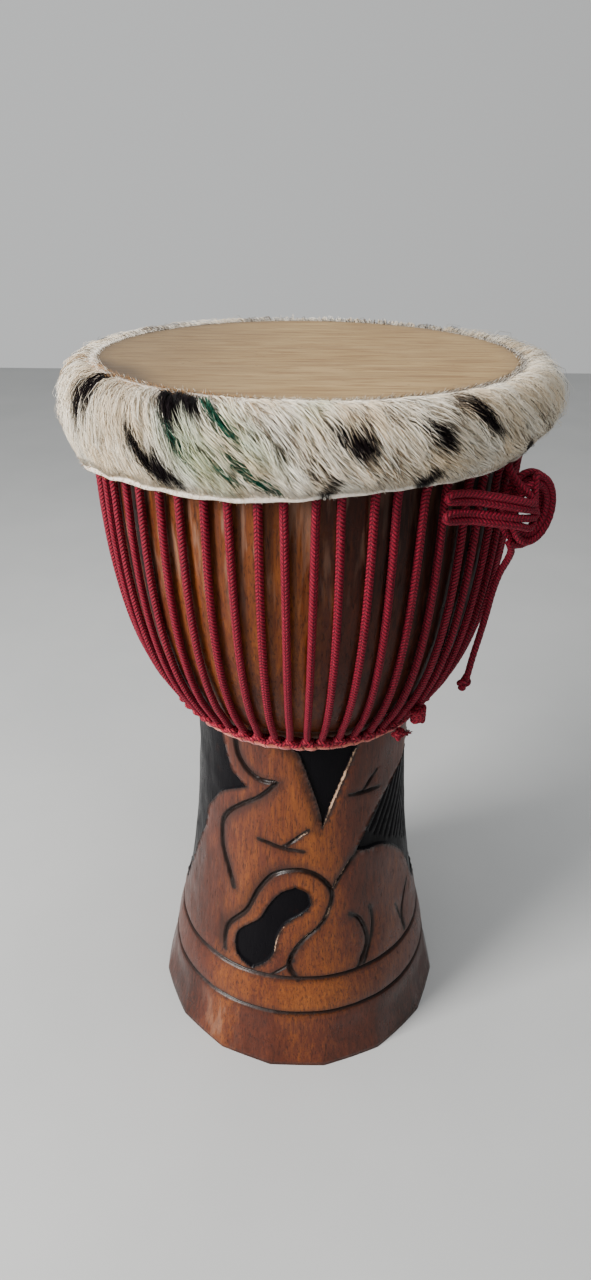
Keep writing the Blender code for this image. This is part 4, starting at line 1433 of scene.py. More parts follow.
def foot_flats(angles, heights):
    """How far the adze flats of the foot lie inside the round."""
    pitch = 360.0 / FOOT_FLATS
    sway = FOOT_FLAT_SWAY * np.sin(np.radians(3.0 * angles + 40.0))
    across = (angles + sway - FOOT_FLAT_TURN) % pitch - pitch / 2.0
    inset = 1.0 - math.cos(math.radians(pitch / 2.0)) / np.cos(np.radians(across))
    low = np.clip((LOWER_RING - FOOT_FLAT_GAP - heights) / FOOT_FLAT_FADE, 0.0, 1.0)
    return FOOT_RADIUS * inset * low * FOOT_FLAT_STRENGTH


def closeness(distance, width):
    """1 on a line, falling to 0 at this width from it."""
    return 1.0 - np.clip(distance / width, 0.0, 1.0)


def end_distance(points, line):
    """Distance from each point to the nearer end of a line."""
    return np.minimum(np.linalg.norm(points - line[0], axis=1), np.linalg.norm(points - line[-1], axis=1))


def carve(points):
    """Depth of the carving at places of the flat layout, and the distances that the wood's finish reads."""
    field = np.full(len(points), -CARVE_REACH)
    for outline in FLAT_FIELDS:
        edge = line_distance(points, np.vstack([outline, outline[:1]]), CARVE_REACH)
        field = np.maximum(field, np.where(inside(points, outline), edge, -edge))
    unpainted = field < 0.0
    depth = FIELD_DEPTH * fade(0.0, FIELD_SLOPE, field)
    bevel = FIELD_BEVEL_DEPTH * closeness(-field, FIELD_BEVEL_WIDTH) ** 2 * unpainted
    cut = np.full(len(points), CARVE_REACH)
    groove = np.zeros(len(points))
    for line, width, deep, side in FLAT_CUTS:
        edge = line_distance(points, line, CARVE_REACH)
        end = end_distance(points, line)
        taper = CUT_TIP + (1.0 - CUT_TIP) * fade(0.0, CUT_TIP_LENGTH, end)
        groove = np.maximum(groove, deep * taper * closeness(edge, width * taper) ** GROOVE_FALL)
        cut = np.minimum(cut, edge / width * CUT_STAIN_WIDTH)
        here = (0.3 + 0.7 * (side_of(points, line) == side)) if side else 0.45
        sloped = closeness(edge, BEVEL_WIDTH) ** BEVEL_FALL * fade(0.0, 0.010, end)
        bevel = np.maximum(bevel, BEVEL_DEPTH * here * sloped * unpainted)
    for line in FLAT_RINGS:
        edge = line_distance(points, line, CARVE_REACH)
        groove = np.maximum(groove, RING_DEPTH * closeness(edge, RING_HALF_WIDTH) ** GROOVE_FALL)
        cut = np.minimum(cut, edge)
        bevel = np.maximum(bevel, RING_BEVEL_DEPTH * closeness(edge, RING_BEVEL_WIDTH) ** BEVEL_FALL)
    within = fade(0.0, FURROW_MARGIN, field)
    for line in FLAT_FURROWS:
        edge = line_distance(points, line, CARVE_REACH)
        groove = np.maximum(groove, FURROW_DEPTH * within * closeness(edge, FURROW_HALF_WIDTH))
    # Distance to the cut edges that get a painted glint
    edge_glint = np.full(len(points), CARVE_REACH)
    for line in FLAT_EDGE_GLINTS:
        edge_glint = np.minimum(edge_glint, line_distance(points, line, CARVE_REACH))
    # Painted shade on the slopes beside the cuts
    shade = np.zeros(len(points))
    for line, width, deep, side, dark in FLAT_SLOPES:
        share = closeness(line_distance(points, line, CARVE_REACH), width) * (side_of(points, line) == side)
        share = share * (0.25 + 0.75 * fade(0.0, 0.008, end_distance(points, line)))
        bevel = np.maximum(bevel, deep * share ** 1.2 * unpainted)
        shade = np.maximum(shade, dark * share ** 0.7)
    return depth + groove + bevel, field, cut, edge_glint, shade


def guide_lines():
    """Lines that the stem's points follow, along the edges of all that is cut, and whether each closes."""
    lines = []
    for outline in FLAT_FIELDS:
        for gap in (0.0, FIELD_SLOPE * 0.5, FIELD_SLOPE, -CREST, FIELD_SLOPE + CREST):
            moved = sideways(outline, gap, True)
            went_in = inside(moved[: len(moved) // 2], outline).mean() > 0.5
            if gap and went_in != (gap > 0.0):
                moved = sideways(outline, -gap, True)
            lines.append((moved, True))
    for line, width, _, _ in FLAT_CUTS:
        for gap in (0.0, width * 0.5, -width * 0.5, width, -width, width + CREST, -width - CREST):
            lines.append((sideways(line, gap, False), False))
    for line in FLAT_FURROWS:
        for gap in (0.0, FURROW_HALF_WIDTH, -FURROW_HALF_WIDTH):
            lines.append((sideways(line, gap, False), False))
    for line in FLAT_RINGS:
        for gap in (0.0, 1.0, -1.0, 0.5, -0.5, 1.3, -1.3):
            lines.append((line + np.array((0.0, gap * RING_HALF_WIDTH)), False))
    return lines


def grid_points(half):
    """An even grid over the flat stem, clear of all that is drawn on it."""
    drawn = [np.vstack([outline, outline[:1]]) for outline in FLAT_FIELDS]
    drawn += [cut[0] for cut in FLAT_CUTS] + FLAT_RINGS + FLAT_FURROWS
    columns = np.linspace(-half, half, GRID_COLUMNS + 1)
    rows = np.linspace(0.0, WAIST_HEIGHT, GRID_ROWS + 1)
    grid = np.stack(np.meshgrid(columns, rows[1:-1]), axis=-1).reshape(-1, 2)
    clear = np.full(len(grid), 1.1 * GRID_CLEARANCE)
    for line in drawn:
        clear = np.minimum(clear, line_distance(grid, line, 1.1 * GRID_CLEARANCE))
    border = np.abs(np.abs(grid[:, 0]) - half) < TINY
    return grid[(clear > GRID_CLEARANCE) | border]


def stem_layout():
    """Points and triangles of the stem laid out flat, dense along everything that is cut."""
    half = math.pi * FLAT_RADIUS
    points = []
    edges = []
    count = 0
    for line, closed in guide_lines():
        line = line[(line[:, 1] > LAYOUT_MARGIN) & (line[:, 1] < WAIST_HEIGHT - LAYOUT_MARGIN)]
        index = np.arange(len(line)) + count
        pairs = np.stack([index[:-1], index[1:]], axis=1)
        steps = np.linalg.norm(np.diff(line, axis=0), axis=1)
        edges.extend(map(tuple, pairs[steps < LONGEST_LINK]))
        if closed and np.linalg.norm(line[0] - line[-1]) < LONGEST_LINK:
            edges.append((index[-1], index[0]))
        points.append(line)
        count += len(line)
    points.append(grid_points(half))
    around = np.linspace(-half, half, RIM_COLUMNS + 1)
    for height in (0.0, WAIST_HEIGHT):
        points.append(np.stack([around, np.full(len(around), height)], axis=1))
    corners = [Vector(point) for point in np.vstack(points)]
    links = [(int(start), int(end)) for start, end in edges]
    laid = geometry.delaunay_2d_cdt(corners, links, [], 0, MERGE_WITHIN, False)
    return np.array([tuple(point) for point in laid[0]]), np.array(laid[2])


BOWL_ROWS = 46
FLUTES = 38
FLUTE_DEPTH = 0.0011
FLUTE_UNEVEN = 0.28
FLUTES_START = 0.035
FLUTES_SOFTEN = 0.05
HAND_WAVE = 0.00045
ROLL_HEIGHT = 0.0010
ROUGH_DEPTH = 0.0011
INSIDE_WAVE = 0.0009
CALM_MARGIN = 0.006


def flute_depth(angles, heights):
    """Upright scallops that the gouge left down the bowl."""
    random = np.random.default_rng(3)
    uneven = random.uniform(-FLUTE_UNEVEN, FLUTE_UNEVEN, FLUTES)
    bounds = np.sort((np.arange(FLUTES) + uneven) * 360.0 / FLUTES)
    depths = random.uniform(0.45, 1.0, FLUTES) * FLUTE_DEPTH
    lean = 1.6 * np.sin(np.radians(angles * 2.0 + heights * 900.0))
    turned = (angles + lean) % 360.0
    cell = np.searchsorted(bounds, turned) % FLUTES
    left = bounds[cell - 1]
    width = (bounds[cell] - left) % 360.0
    share = ((turned - left) % 360.0) / width
    strength = fade(WAIST_HEIGHT, WAIST_HEIGHT + FLUTES_START, heights)
    strength = strength * (1.0 - 0.5 * fade(BOWL_TOP - FLUTES_SOFTEN, BOWL_TOP, heights))
    return depths[cell] * 4.0 * share * (1.0 - share) * strength


def lobe(angles, middle, width):
    """1 at an angle, fading away on both sides of it."""
    return np.exp(-((angles - middle) / width) ** 2)


def right_side(angles, start, full):
    """1 on the drum's right side, from where it starts round to the back."""
    return fade(start, full, angles) * (1.0 - fade(95.0, 150.0, angles))


def tone_at(angles, heights):
    """Lighter in front and darker to the right of the bowl, partly the wood's own colour and partly painted
    shade on the side away from the window, with a painted highlight on the foot's front left flat.
    """
    front = lobe(angles, -4.0, 34.0)
    left = fade(-25.0, -60.0, angles) * (1.0 - fade(-120.0, -165.0, angles))
    dark_side = right_side(angles, -2.0, 12.0)
    bowl = fade(WAIST_HEIGHT - 0.01, WAIST_HEIGHT + 0.02, heights)
    low = 1.0 - fade(LOWER_RING - 0.006, LOWER_RING + 0.002, heights)
    band = fade(LOWER_RING, LOWER_RING + 0.004, heights)
    band = band * (1.0 - fade(UPPER_RING - 0.004, UPPER_RING, heights))
    # Painted shade, with some of the wood's own darkness, to the right of bowl and stem, and a painted
    # highlight on the foot's front left flat
    on_bowl = 0.03 * (1.0 - dark_side) - dark_side * (0.21 - 0.06 * fade(40.0, 75.0, angles))
    on_stem = -0.06 * right_side(angles, 8.0, 30.0)
    on_foot = 0.16 * lobe(angles, -36.0, 9.0) - 0.09
    tone = -0.09 + (0.08 + 0.05 * band) * front - 0.05 * left
    return tone + bowl * on_bowl + (1.0 - bowl) * on_stem + low * on_foot


def painted_gleam_at(angles, heights):
    """Painted highlights: gleaming upright streaks below the collar, and a gleam on the foot's front left
    flat.
    """
    high = fade(TOTAL_HEIGHT - 0.16, TOTAL_HEIGHT - 0.09, heights) * (1.0 - 0.7 * fade(0.0, 25.0, angles))
    low = 1.0 - fade(LOWER_RING - 0.012, LOWER_RING - 0.003, heights)
    return 0.34 * high + 0.20 * low * lobe(angles, -37.0, 8.0)


def bowl_painted_shadow(angles, heights):
    """Painted shadow that darkens the bowl below the collar, a little more on the right."""
    up = fade(WAIST_HEIGHT + 0.10, TOTAL_HEIGHT - 0.05, heights)
    return up * (0.46 + 0.06 * right_side(angles, -10.0, 15.0))


def hand_marks(points):
    """The slow waves that hand tools leave."""
    return soft_noise(points, 42.0, 1.0) + 0.5 * soft_noise(points * np.array((1.0, 1.0, 0.5)), 95.0, 2.0)


def rough_marks(surface, angles, heights):
    """Where the left field was left rough, and the marks of the tool there."""
    rough = fade(-90.0, -80.0, angles) * (1.0 - fade(-42.0, -34.0, angles))
    rough = rough * fade(0.095, 0.110, heights) * (1.0 - fade(0.185, 0.205, heights))
    waves = np.sin(angles * 2.1 + 2.0 * soft_noise(surface, 60.0, 4.0))
    return rough, waves * soft_noise(surface * np.array((1.0, 1.0, 0.25)), 160.0, 5.0)


def carved_stem():
    """The stem: points, triangles, numbers of its foot's and waist's points, and what its finish reads."""
    layout, triangles = stem_layout()
    depth, field, cut, edge_glint, shade = carve(layout)
    angles = np.degrees(layout[:, 0] / FLAT_RADIUS)
    heights = layout[:, 1]
    up_band = np.clip((heights - LOWER_RING) / (UPPER_RING - LOWER_RING), 0.0, 1.0)
    radii = stem_radius(heights) - foot_flats(angles, heights) + ROLL_HEIGHT * np.sin(math.pi * up_band)
    surface = places(angles, radii, heights)
    calm = np.clip(np.minimum(heights, WAIST_HEIGHT - heights) / CALM_MARGIN, 0.0, 1.0)
    rough, marks = rough_marks(surface, angles, heights)
    radii = radii - depth + HAND_WAVE * hand_marks(surface) * calm + ROUGH_DEPTH * rough * marks
    shade = np.clip(shade + rough * (0.25 + 0.9 * np.clip(-marks, 0.0, 1.0)), 0.0, 1.0)
    half = math.pi * FLAT_RADIUS
    seams = []
    for on_seam in (layout[:, 0] < -half + TINY, layout[:, 0] > half - TINY):
        seam = np.nonzero(on_seam)[0]
        seams.append(seam[np.argsort(heights[seam])])
    joined = np.arange(len(layout))
    joined[seams[1]] = seams[0]
    kept = np.unique(joined[triangles])
    renumber = np.zeros(len(layout), int)
    renumber[kept] = np.arange(len(kept))
    faces = renumber[joined[triangles]]
    faces = faces[np.array([len(set(face)) for face in faces]) == 3]
    rims = []
    for on_rim in (heights < TINY, heights > WAIST_HEIGHT - TINY):
        rim = np.nonzero(on_rim)[0]
        rims.append(renumber[joined[rim[np.argsort(layout[rim, 0])][:-1]]])
    finish = [numbers[kept] for numbers in (angles, field, cut, edge_glint, shade)]
    return places(angles, radii, heights)[kept], faces, rims, finish


RIM_ROUNDING = ((0.0030, 0.0010), (0.0010, 0.0024), (0.0, 0.0050), (0.0, 0.0085))
RIM_BEVEL = 0.0030
RIM_INNER_DROP = 0.0140
INNER_BOWL_HEIGHTS = (0.550, 0.520, 0.495, 0.470, 0.448, 0.428, 0.410, 0.393, 0.380, 0.370)
INNER_STEM_HEIGHTS = (0.270, 0.230, 0.190, 0.150, 0.115, 0.080, 0.050, 0.022, 0.004)
INNER_FOOT_BEVEL = 0.002


def shell_section():
    """Outline up the bowl, over the rim and down inside: radius, height, whether fluted, and how raw."""
    section = []
    for height in WAIST_HEIGHT + (BOWL_TOP - WAIST_HEIGHT) * np.linspace(0.0, 1.0, BOWL_ROWS)[1:]:
        section.append((bowl_radius(height), height, 1.0, 0.0))
    for drop, inset in RIM_ROUNDING:
        section.append((RIM_RADIUS - inset, RIM_TOP - drop, 0.0, 0.0))
    inner = RIM_RADIUS - BOWL_WALL
    section.append((inner + RIM_BEVEL, RIM_TOP - RIM_BEVEL, 0.0, 1.0))
    section.append((inner, RIM_TOP - RIM_INNER_DROP, 0.0, 1.0))
    for height in INNER_BOWL_HEIGHTS:
        wall = BOWL_WALL * np.hypot(1.0, bowl_slope(height))
        section.append((bowl_radius(height) - wall, height, 0.0, 1.0))
    throat = WAIST_RADIUS - STEM_WALL
    section.append((throat, WAIST_HEIGHT, 0.0, 1.0))
    section.append((throat, WAIST_HEIGHT - THROAT_HEIGHT, 0.0, 1.0))
    for height in INNER_STEM_HEIGHTS:
        section.append((stem_radius(height) - STEM_WALL, height, 0.0, 1.0))
    section.append((stem_radius(0.0) - STEM_WALL + INNER_FOOT_BEVEL, 0.0, 0.0, 0.8))
    return np.array([[float(value) for value in row] for row in section])


def lathed_points(section, around):
    """The bowl and the inside ring by ring, with flutes outside and tool waves inside."""
    rings = []
    for radius, height, fluted, raw in section:
        ring = places(around, radius, height)
        if fluted:
            calm = min((height - WAIST_HEIGHT) / CALM_MARGIN, 1.0)
            flutes = flute_depth(around, np.full(RIM_COLUMNS, height))
            radius = radius - flutes + HAND_WAVE * hand_marks(ring) * calm
        elif raw and height > 0.0:
            radius = radius + soft_noise(ring, 30.0, 6.0) * INSIDE_WAVE
        rings.append(places(around, radius, height))
    return np.vstack(rings)


MILLIMETRES = 1000.0
RAW_NEAR_FLOOR = 0.010


def make_shell():
    """The whole goblet: carved stem, fluted bowl, rim, inside and bore as one closed piece."""
    stem, faces, (foot, waist), (stem_angles, field, cut, edge_glint, shade) = carved_stem()
    around = np.linspace(-180.0, 180.0, RIM_COLUMNS, endpoint=False)
    section = shell_section()
    lathed = lathed_points(section, around)
    shape = Shape()
    shape.add(stem, faces)
    first = shape.count + np.arange(RIM_COLUMNS)
    last = first + (len(section) - 1) * RIM_COLUMNS
    shape.add(lathed, ring_faces(len(section), RIM_COLUMNS))
    for lower, upper in ((waist, first), (last, foot)):
        shape.add_faces(np.stack([lower, np.roll(lower, -1), np.roll(upper, -1), upper], axis=1))
    shell = shape.make("carved_shell", wood_material("varnished_wood", 0.22, 0.10))
    shell.data.materials.append(wood_material("painted_wood", 0.05, 0.01))
    shell.data.materials.append(wood_material("bowl_wood", 0.14, 0.03))
    point_field = np.concatenate([field, np.full(len(lathed), -1.0)])
    for polygon in shell.data.polygons:
        if point_field[list(polygon.vertices)].mean() > PAINT_EDGE:
            polygon.material_index = 1
        elif polygon.center.z > WAIST_HEIGHT:
            polygon.material_index = 2
    lathed_angles = np.tile(around, len(section))
    lathed_raw = np.repeat(section[:, 3], RIM_COLUMNS)
    lathed_raw = np.where(lathed[:, 2] < RAW_NEAR_FLOOR, 0.7 * lathed_raw, lathed_raw)
    angles = np.concatenate([stem_angles, lathed_angles])
    heights = np.concatenate([stem[:, 2], lathed[:, 2]])
    raw = np.concatenate([np.zeros(len(stem)), lathed_raw])
    blank = np.full(len(lathed), CARVE_REACH)
    # The edge glints and gleams are painted highlights; shade is painted shade beside the cuts and below the
    # collar, with the rough patch darkened too
    add_numbers(shell, "field", np.concatenate([field, -blank]) * MILLIMETRES)
    add_numbers(shell, "cut", np.concatenate([cut, blank]) * MILLIMETRES)
    add_numbers(shell, "edge_glint", np.concatenate([edge_glint, blank]) * MILLIMETRES)
    add_numbers(shell, "shade", np.concatenate([shade, bowl_painted_shadow(lathed_angles, lathed[:, 2])]))
    add_numbers(shell, "raw", raw)
    add_numbers(shell, "tone", tone_at(angles, heights))
    add_numbers(shell, "painted_gleam", painted_gleam_at(angles, heights) * (1.0 - raw))
    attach(shell, "root")
    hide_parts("shell")


make_shell()


# Goatskin: bare head, and the hairy collar folded down over the rings

HEAD_EDGE = RIM_RADIUS - 0.0030
SKIN_COLUMNS = 288
COLLAR_PROFILE = (
    (HEAD_EDGE, 0.0),
    (0.1515, 0.0003),
    (0.1560, 0.0014),
    (0.1602, 0.0042),
    (0.1636, 0.0085),
    (0.1662, 0.0140),
    (0.1676, 0.0210),
    (0.1680, 0.0280),
    (0.1679, 0.0360),
    (0.1674, 0.0450),
    (0.1668, COLLAR_DEPTH),
)


EDGE_NICKS = ((0.0003, 31.0, 0.0), (0.0002, 53.0, 20.0))


def collar_edge(angles):
    """Height of the skin's cut lower edge."""
    tilt = COLLAR_EDGE_TILT * np.cos(np.radians(angles - COLLAR_EDGE_TILT_TOWARDS))
    ripple = COLLAR_RIPPLE * np.sin(np.radians(COLLAR_RIPPLES * angles))
    nicks = sum(size * np.sin(np.radians(waves * angles + shift)) for size, waves, shift in EDGE_NICKS)
    return TOTAL_HEIGHT - COLLAR_DEPTH + tilt + ripple + nicks


def profile_places():
    """The collar's outline as distance along it, radius and drop below the head."""
    profile = smooth_path(np.array(COLLAR_PROFILE), 0.0005)
    return distances(profile), profile[:, 0], profile[:, 1]


PROFILE_ALONG, PROFILE_RADIUS, PROFILE_DROP = profile_places()
COLLAR_LENGTH = float(PROFILE_ALONG[-1])


LACING_LUMP = 0.0004
COLLAR_LUMP = 0.0009
COLLAR_INSET = 0.0009
NORMAL_STEP = 0.002


def profile_radius(along):
    """Radius of the collar's outline at a distance along it."""
    return np.interp(along, PROFILE_ALONG, PROFILE_RADIUS)


def profile_drop(along):
    """Drop of the collar's outline below the head at a distance along it."""
    return np.interp(along, PROFILE_ALONG, PROFILE_DROP)


def collar_place(angles, along):
    """Point on the hide at an angle and a distance down its outline, which stretches to the cut edge."""
    drops = profile_drop(along) + np.clip(along - COLLAR_LENGTH, 0.0, None)
    depth = TOTAL_HEIGHT - collar_edge(angles)
    stretched = drops * (1.0 + (depth / COLLAR_DEPTH - 1.0) * fade(0.012, COLLAR_DEPTH, drops))
    lumps = LACING_LUMP * np.sin(np.radians(28.0 * angles + 60.0)) * fade(0.004, 0.014, drops)
    lumps = lumps + COLLAR_LUMP * np.sin(np.radians(9.0 * angles)) * fade(0.010, 0.05, drops)
    return places(angles, profile_radius(along) + lumps - COLLAR_INSET, TOTAL_HEIGHT - stretched)


def collar_normal(angles, along):
    """Outward direction of the hide there."""
    ahead = profile_radius(along + NORMAL_STEP) - profile_radius(along - NORMAL_STEP)
    down = profile_drop(along + NORMAL_STEP) - profile_drop(along - NORMAL_STEP)
    down = np.where(along > COLLAR_LENGTH - 0.003, np.abs(down) + 1e-4, down)
    size = np.maximum(np.hypot(ahead, down), TINY)
    normal = places(angles, down / size, 0.0)
    normal[..., 2] = ahead / size
    return normal


# Which way the hair lies: degrees from straight down towards positive angles
HAIR_LEAN = (
    (-180, 24), (-110, 14), (-75, 6), (-55, 22), (-40, 36), (-15, 52), (20, 48), (50, 44), (72, 30),
    (110, 26), (180, 24),
)

# Marks of the coat: angle, millimetres down the collar, half length, half width, and strength
COAT_SPOTS = (
    (-55, 13, 17, 8.0, 2.3), (-59, 28, 13, 5.0, 2.0), (-54, 30, 9, 2.6, 0.6), (-30, 11, 16, 8.5, 2.1),
    (-25, 13, 11, 5.0, 1.6), (-28, 24, 8, 3.5, 1.4), (-31, 51, 11, 7.5, 2.3), (-36, 39, 13, 3.2, 1.3),
    (-27, 56, 7, 4.0, 1.6), (10, 32, 10, 7.0, 2.1), (6, 27, 9, 4.0, 0.8), (26.5, 31, 10, 5.4, 2.1),
    (23, 24, 8, 3.0, 0.7), (36.5, 22, 12, 5.2, 2.1), (39.5, 30, 8, 3.6, 1.4), (54, 54, 11, 5.0, 2.1),
    (24.5, 59, 6, 9.0, 2.3), (4, 60, 4.2, 9.5, 2.1), (63, 48, 8, 2.4, 0.6), (88, 30, 8, 6.0, 1.7),
    (112, 45, 7, 6.0, 1.7), (131, 20, 9, 6.0, 1.7), (150, 44, 8, 7.0, 1.7), (172, 26, 9, 6.0, 1.7),
    (196, 50, 7, 6.0, 1.7), (214, 24, 8, 6.5, 1.7), (236, 42, 8, 5.5, 1.7), (254, 18, 8, 5.0, 1.4),
    (271, 46, 6, 4.0, 1.4),
)
DYE_STREAKS = (
    (-20, 16, 15, 2.6, 1.2), (-16, 24, 12, 1.9, 1.0), (-26, 36, 13, 2.4, 1.0), (-14, 41, 10, 1.9, 1.0),
    (-11, 50, 16, 2.8, 1.2), (-16, 48, 12, 1.8, 0.9), (-7, 57, 8, 2.0, 0.8),
)
DYE_TINGES = ((-22, 40, 26, 12.0, 0.75), (-12, 30, 22, 8.0, 0.55), (2, 8, 6, 14.0, 0.45))
TAN_PATCHES = (
    (-80, 13, 17, 11.0, 0.70), (-93, 30, 17, 9.0, 0.75), (-77, 50, 8, 9.0, 0.45), (-62, 20, 9, 6.0, 0.35),
    (-42, 3, 4, 34.0, 0.50), (-8, 3, 3, 30.0, 0.30), (16, 46, 13, 14.0, 0.22), (92, 14, 12, 10.0, 0.35),
)
GREY_PATCHES = (
    (-72, 30, 16, 26.0, 0.20), (-5, 30, 16, 6.0, 0.42), (2, 46, 14, 7.0, 0.30), (16, 48, 14, 9.0, 0.30),
    (-97, 46, 9, 9.0, 0.6), (34, 6, 5, 34.0, 0.75), (60, 40, 16, 7.0, 0.30), (-92, 12, 8, 10.0, 0.6),
    (-128, 8, 9, 60.0, 0.8), (-164, 6, 8, 60.0, 0.8), (163, 6, 7, 60.0, 0.55), (140, 12, 8, 30.0, 0.5),
    (12, 16, 10, 14.0, 0.30),
)
COAT_CREAM = np.array((0.910, 0.720, 0.485))
COAT_WHITE = np.array((1.000, 0.945, 0.815))
COAT_STRAW = np.array((0.560, 0.420, 0.250))
COAT_BLACK = np.array((0.0055, 0.0030, 0.0040))
COAT_GREY = np.array((0.130, 0.100, 0.075))
COAT_TAN = np.array((0.430, 0.300, 0.180))
COAT_GREEN = np.array((0.003, 0.055, 0.032))
COAT_MINT = np.array((0.560, 0.760, 0.600))


DARK_HAIRS = 0.050
# The marks in the order that they are laid over the coat, with their colour and how softly they end
COAT_MARKS = (
    (TAN_PATCHES, COAT_TAN, 0.9),
    (GREY_PATCHES, COAT_GREY, 0.9),
    (DYE_STREAKS, COAT_GREEN, 0.55),
    (COAT_SPOTS, COAT_BLACK, 0.32),
)


def wrapped(angles):
    """The same angles between -180 and 180 degrees."""
    return (np.asarray(angles) + 180.0) % 360.0 - 180.0


def lean_at(angles):
    """Lean of the hair in degrees."""
    stops = np.array(HAIR_LEAN, float)
    return np.interp(wrapped(angles), stops[:, 0], stops[:, 1])


def mark_strength(angles, along, marks, softness=0.35):
    """How strongly a list of marks covers each place of the coat."""
    total = np.zeros(len(angles))
    for angle, down, half_length, half_width, strength in marks:
        lean = math.radians(float(lean_at(angle)))
        across = np.radians(wrapped(angles - angle)) * COLLAR_RADIUS * MILLIMETRES
        below = along * MILLIMETRES - down
        lengthwise = (below * math.cos(lean) + across * math.sin(lean)) / half_length
        crosswise = (across * math.cos(lean) - below * math.sin(lean)) / half_width
        size = np.sqrt(lengthwise ** 2 + crosswise ** 2)
        total = np.maximum(total, strength * (1.0 - fade(1.0 - softness, 1.0 + softness, size)))
    return total


def coat_bases(angles, along, tuft, random):
    """Ground colour of every strand: tufts from white to straw, with thin dark hairs between."""
    count = len(angles)
    spots = np.stack([np.radians(angles) * 17.0, along * 100.0, np.zeros(count)], axis=1)
    broad = soft_noise(spots, 0.45, 1.0)
    white = np.clip(0.62 + 0.7 * broad + tuft + random.normal(0.0, 0.20, count), 0.0, 1.0)[:, None]
    straw = np.clip(0.20 + 0.8 * soft_noise(spots, 0.8, 2.0), 0.0, 1.0)
    straw = (straw * random.uniform(0.0, 0.8, count))[:, None]
    colours = COAT_CREAM + (COAT_WHITE - COAT_CREAM) * white
    colours = colours + (COAT_STRAW - colours) * straw
    dark = random.uniform(0.0, 1.0, count) < DARK_HAIRS
    return np.where(dark[:, None], COAT_GREY * random.uniform(0.3, 1.2, (count, 1)), colours)


def coat_colours(angles, along, bases, chances):
    """Colour of the coat where a strand lies, with the marks laid over its ground colour."""
    tinge = np.clip(mark_strength(angles, along, DYE_TINGES, 0.9), 0.0, 1.0)[:, None]
    colours = bases * (1.0 + (COAT_MINT - 1.0) * tinge)
    shade = (0.6 + 0.9 * chances[:, -1])[:, None]
    for index, (marks, colour, softness) in enumerate(COAT_MARKS):
        chosen = chances[:, index] < mark_strength(angles, along, marks, softness)
        colours = np.where(chosen[:, None], colour * shade, colours)
    return colours


HEAD_RINGS = (0.012, 0.030, 0.050, 0.075, 0.100, 0.120, 0.135, 0.143)
HEAD_SAG = 0.0002
COLLAR_RINGS = 44
FOLD_RINGS = 14
FOLD_REACH = 0.0135
EDGE_ROUNDING = 0.0004
EDGE_THINNED = 0.003
UNDERSIDE_DROP = 0.0001


def skin_rings(around):
    """The hide from the head's middle over the collar and back under: rings of points, hairiness, place."""
    rings = []
    for radius in HEAD_RINGS:
        sag = HEAD_SAG * (1.0 - (radius / HEAD_EDGE) ** 2)
        rings.append((places(around, radius, TOTAL_HEIGHT - sag), 0.0, 0.0))
    for down in np.linspace(0.0, COLLAR_LENGTH, COLLAR_RINGS):
        hairy = float(fade(0.0005, 0.0040, down))
        rings.append((collar_place(around, np.full(SKIN_COLUMNS, down)), hairy, down))
    edge = rings[-1][0]
    edge_radius = np.hypot(edge[:, 0], edge[:, 1])
    for inset, drop in ((EDGE_ROUNDING, EDGE_ROUNDING), (SKIN - EDGE_ROUNDING, EDGE_ROUNDING), (SKIN, 0.0)):
        rings.append((places(around, edge_radius - inset, edge[:, 2] - drop), 1.0, COLLAR_LENGTH))
    for down in np.linspace(COLLAR_LENGTH - EDGE_THINNED, FOLD_REACH, FOLD_RINGS):
        downs = np.full(SKIN_COLUMNS, down)
        inside_fold = collar_place(around, downs) - SKIN * collar_normal(around, downs)
        rings.append((inside_fold, 1.0, COLLAR_LENGTH))
    inner = RIM_RADIUS + SKIN_GAP
    lip = HEAD_RING_RADIUS + 0.4 * HEAD_RING_ROD
    band_foot = TOTAL_HEIGHT - BAND_DEPTH
    under_head = TOTAL_HEIGHT - SKIN
    for radius, height in (
        (inner + SKIN, TOTAL_HEIGHT - 0.0060), (inner + SKIN, band_foot + SKIN), (lip, band_foot + SKIN),
        (lip, band_foot), (inner, band_foot), (inner, TOTAL_HEIGHT - 0.0050), (HEAD_EDGE, under_head),
        (0.075, under_head - UNDERSIDE_DROP), (HEAD_RINGS[0], under_head - UNDERSIDE_DROP),
    ):
        rings.append((places(around, radius, height), 0.0, 0.0))
    return rings


def head_shade(angles, radius, across):
    """Darkening on the head: round its rim, in a patch at the front left, and broadly to the left."""
    rim = 0.45 * fade(0.138, 0.1500, radius)
    front_left_patch = 0.9 * np.exp(-(((angles + 58.0) / 13.0) ** 2) - ((radius - 0.143) / 0.010) ** 2)
    return rim + front_left_patch + 0.50 * fade(0.02, -0.14, across)


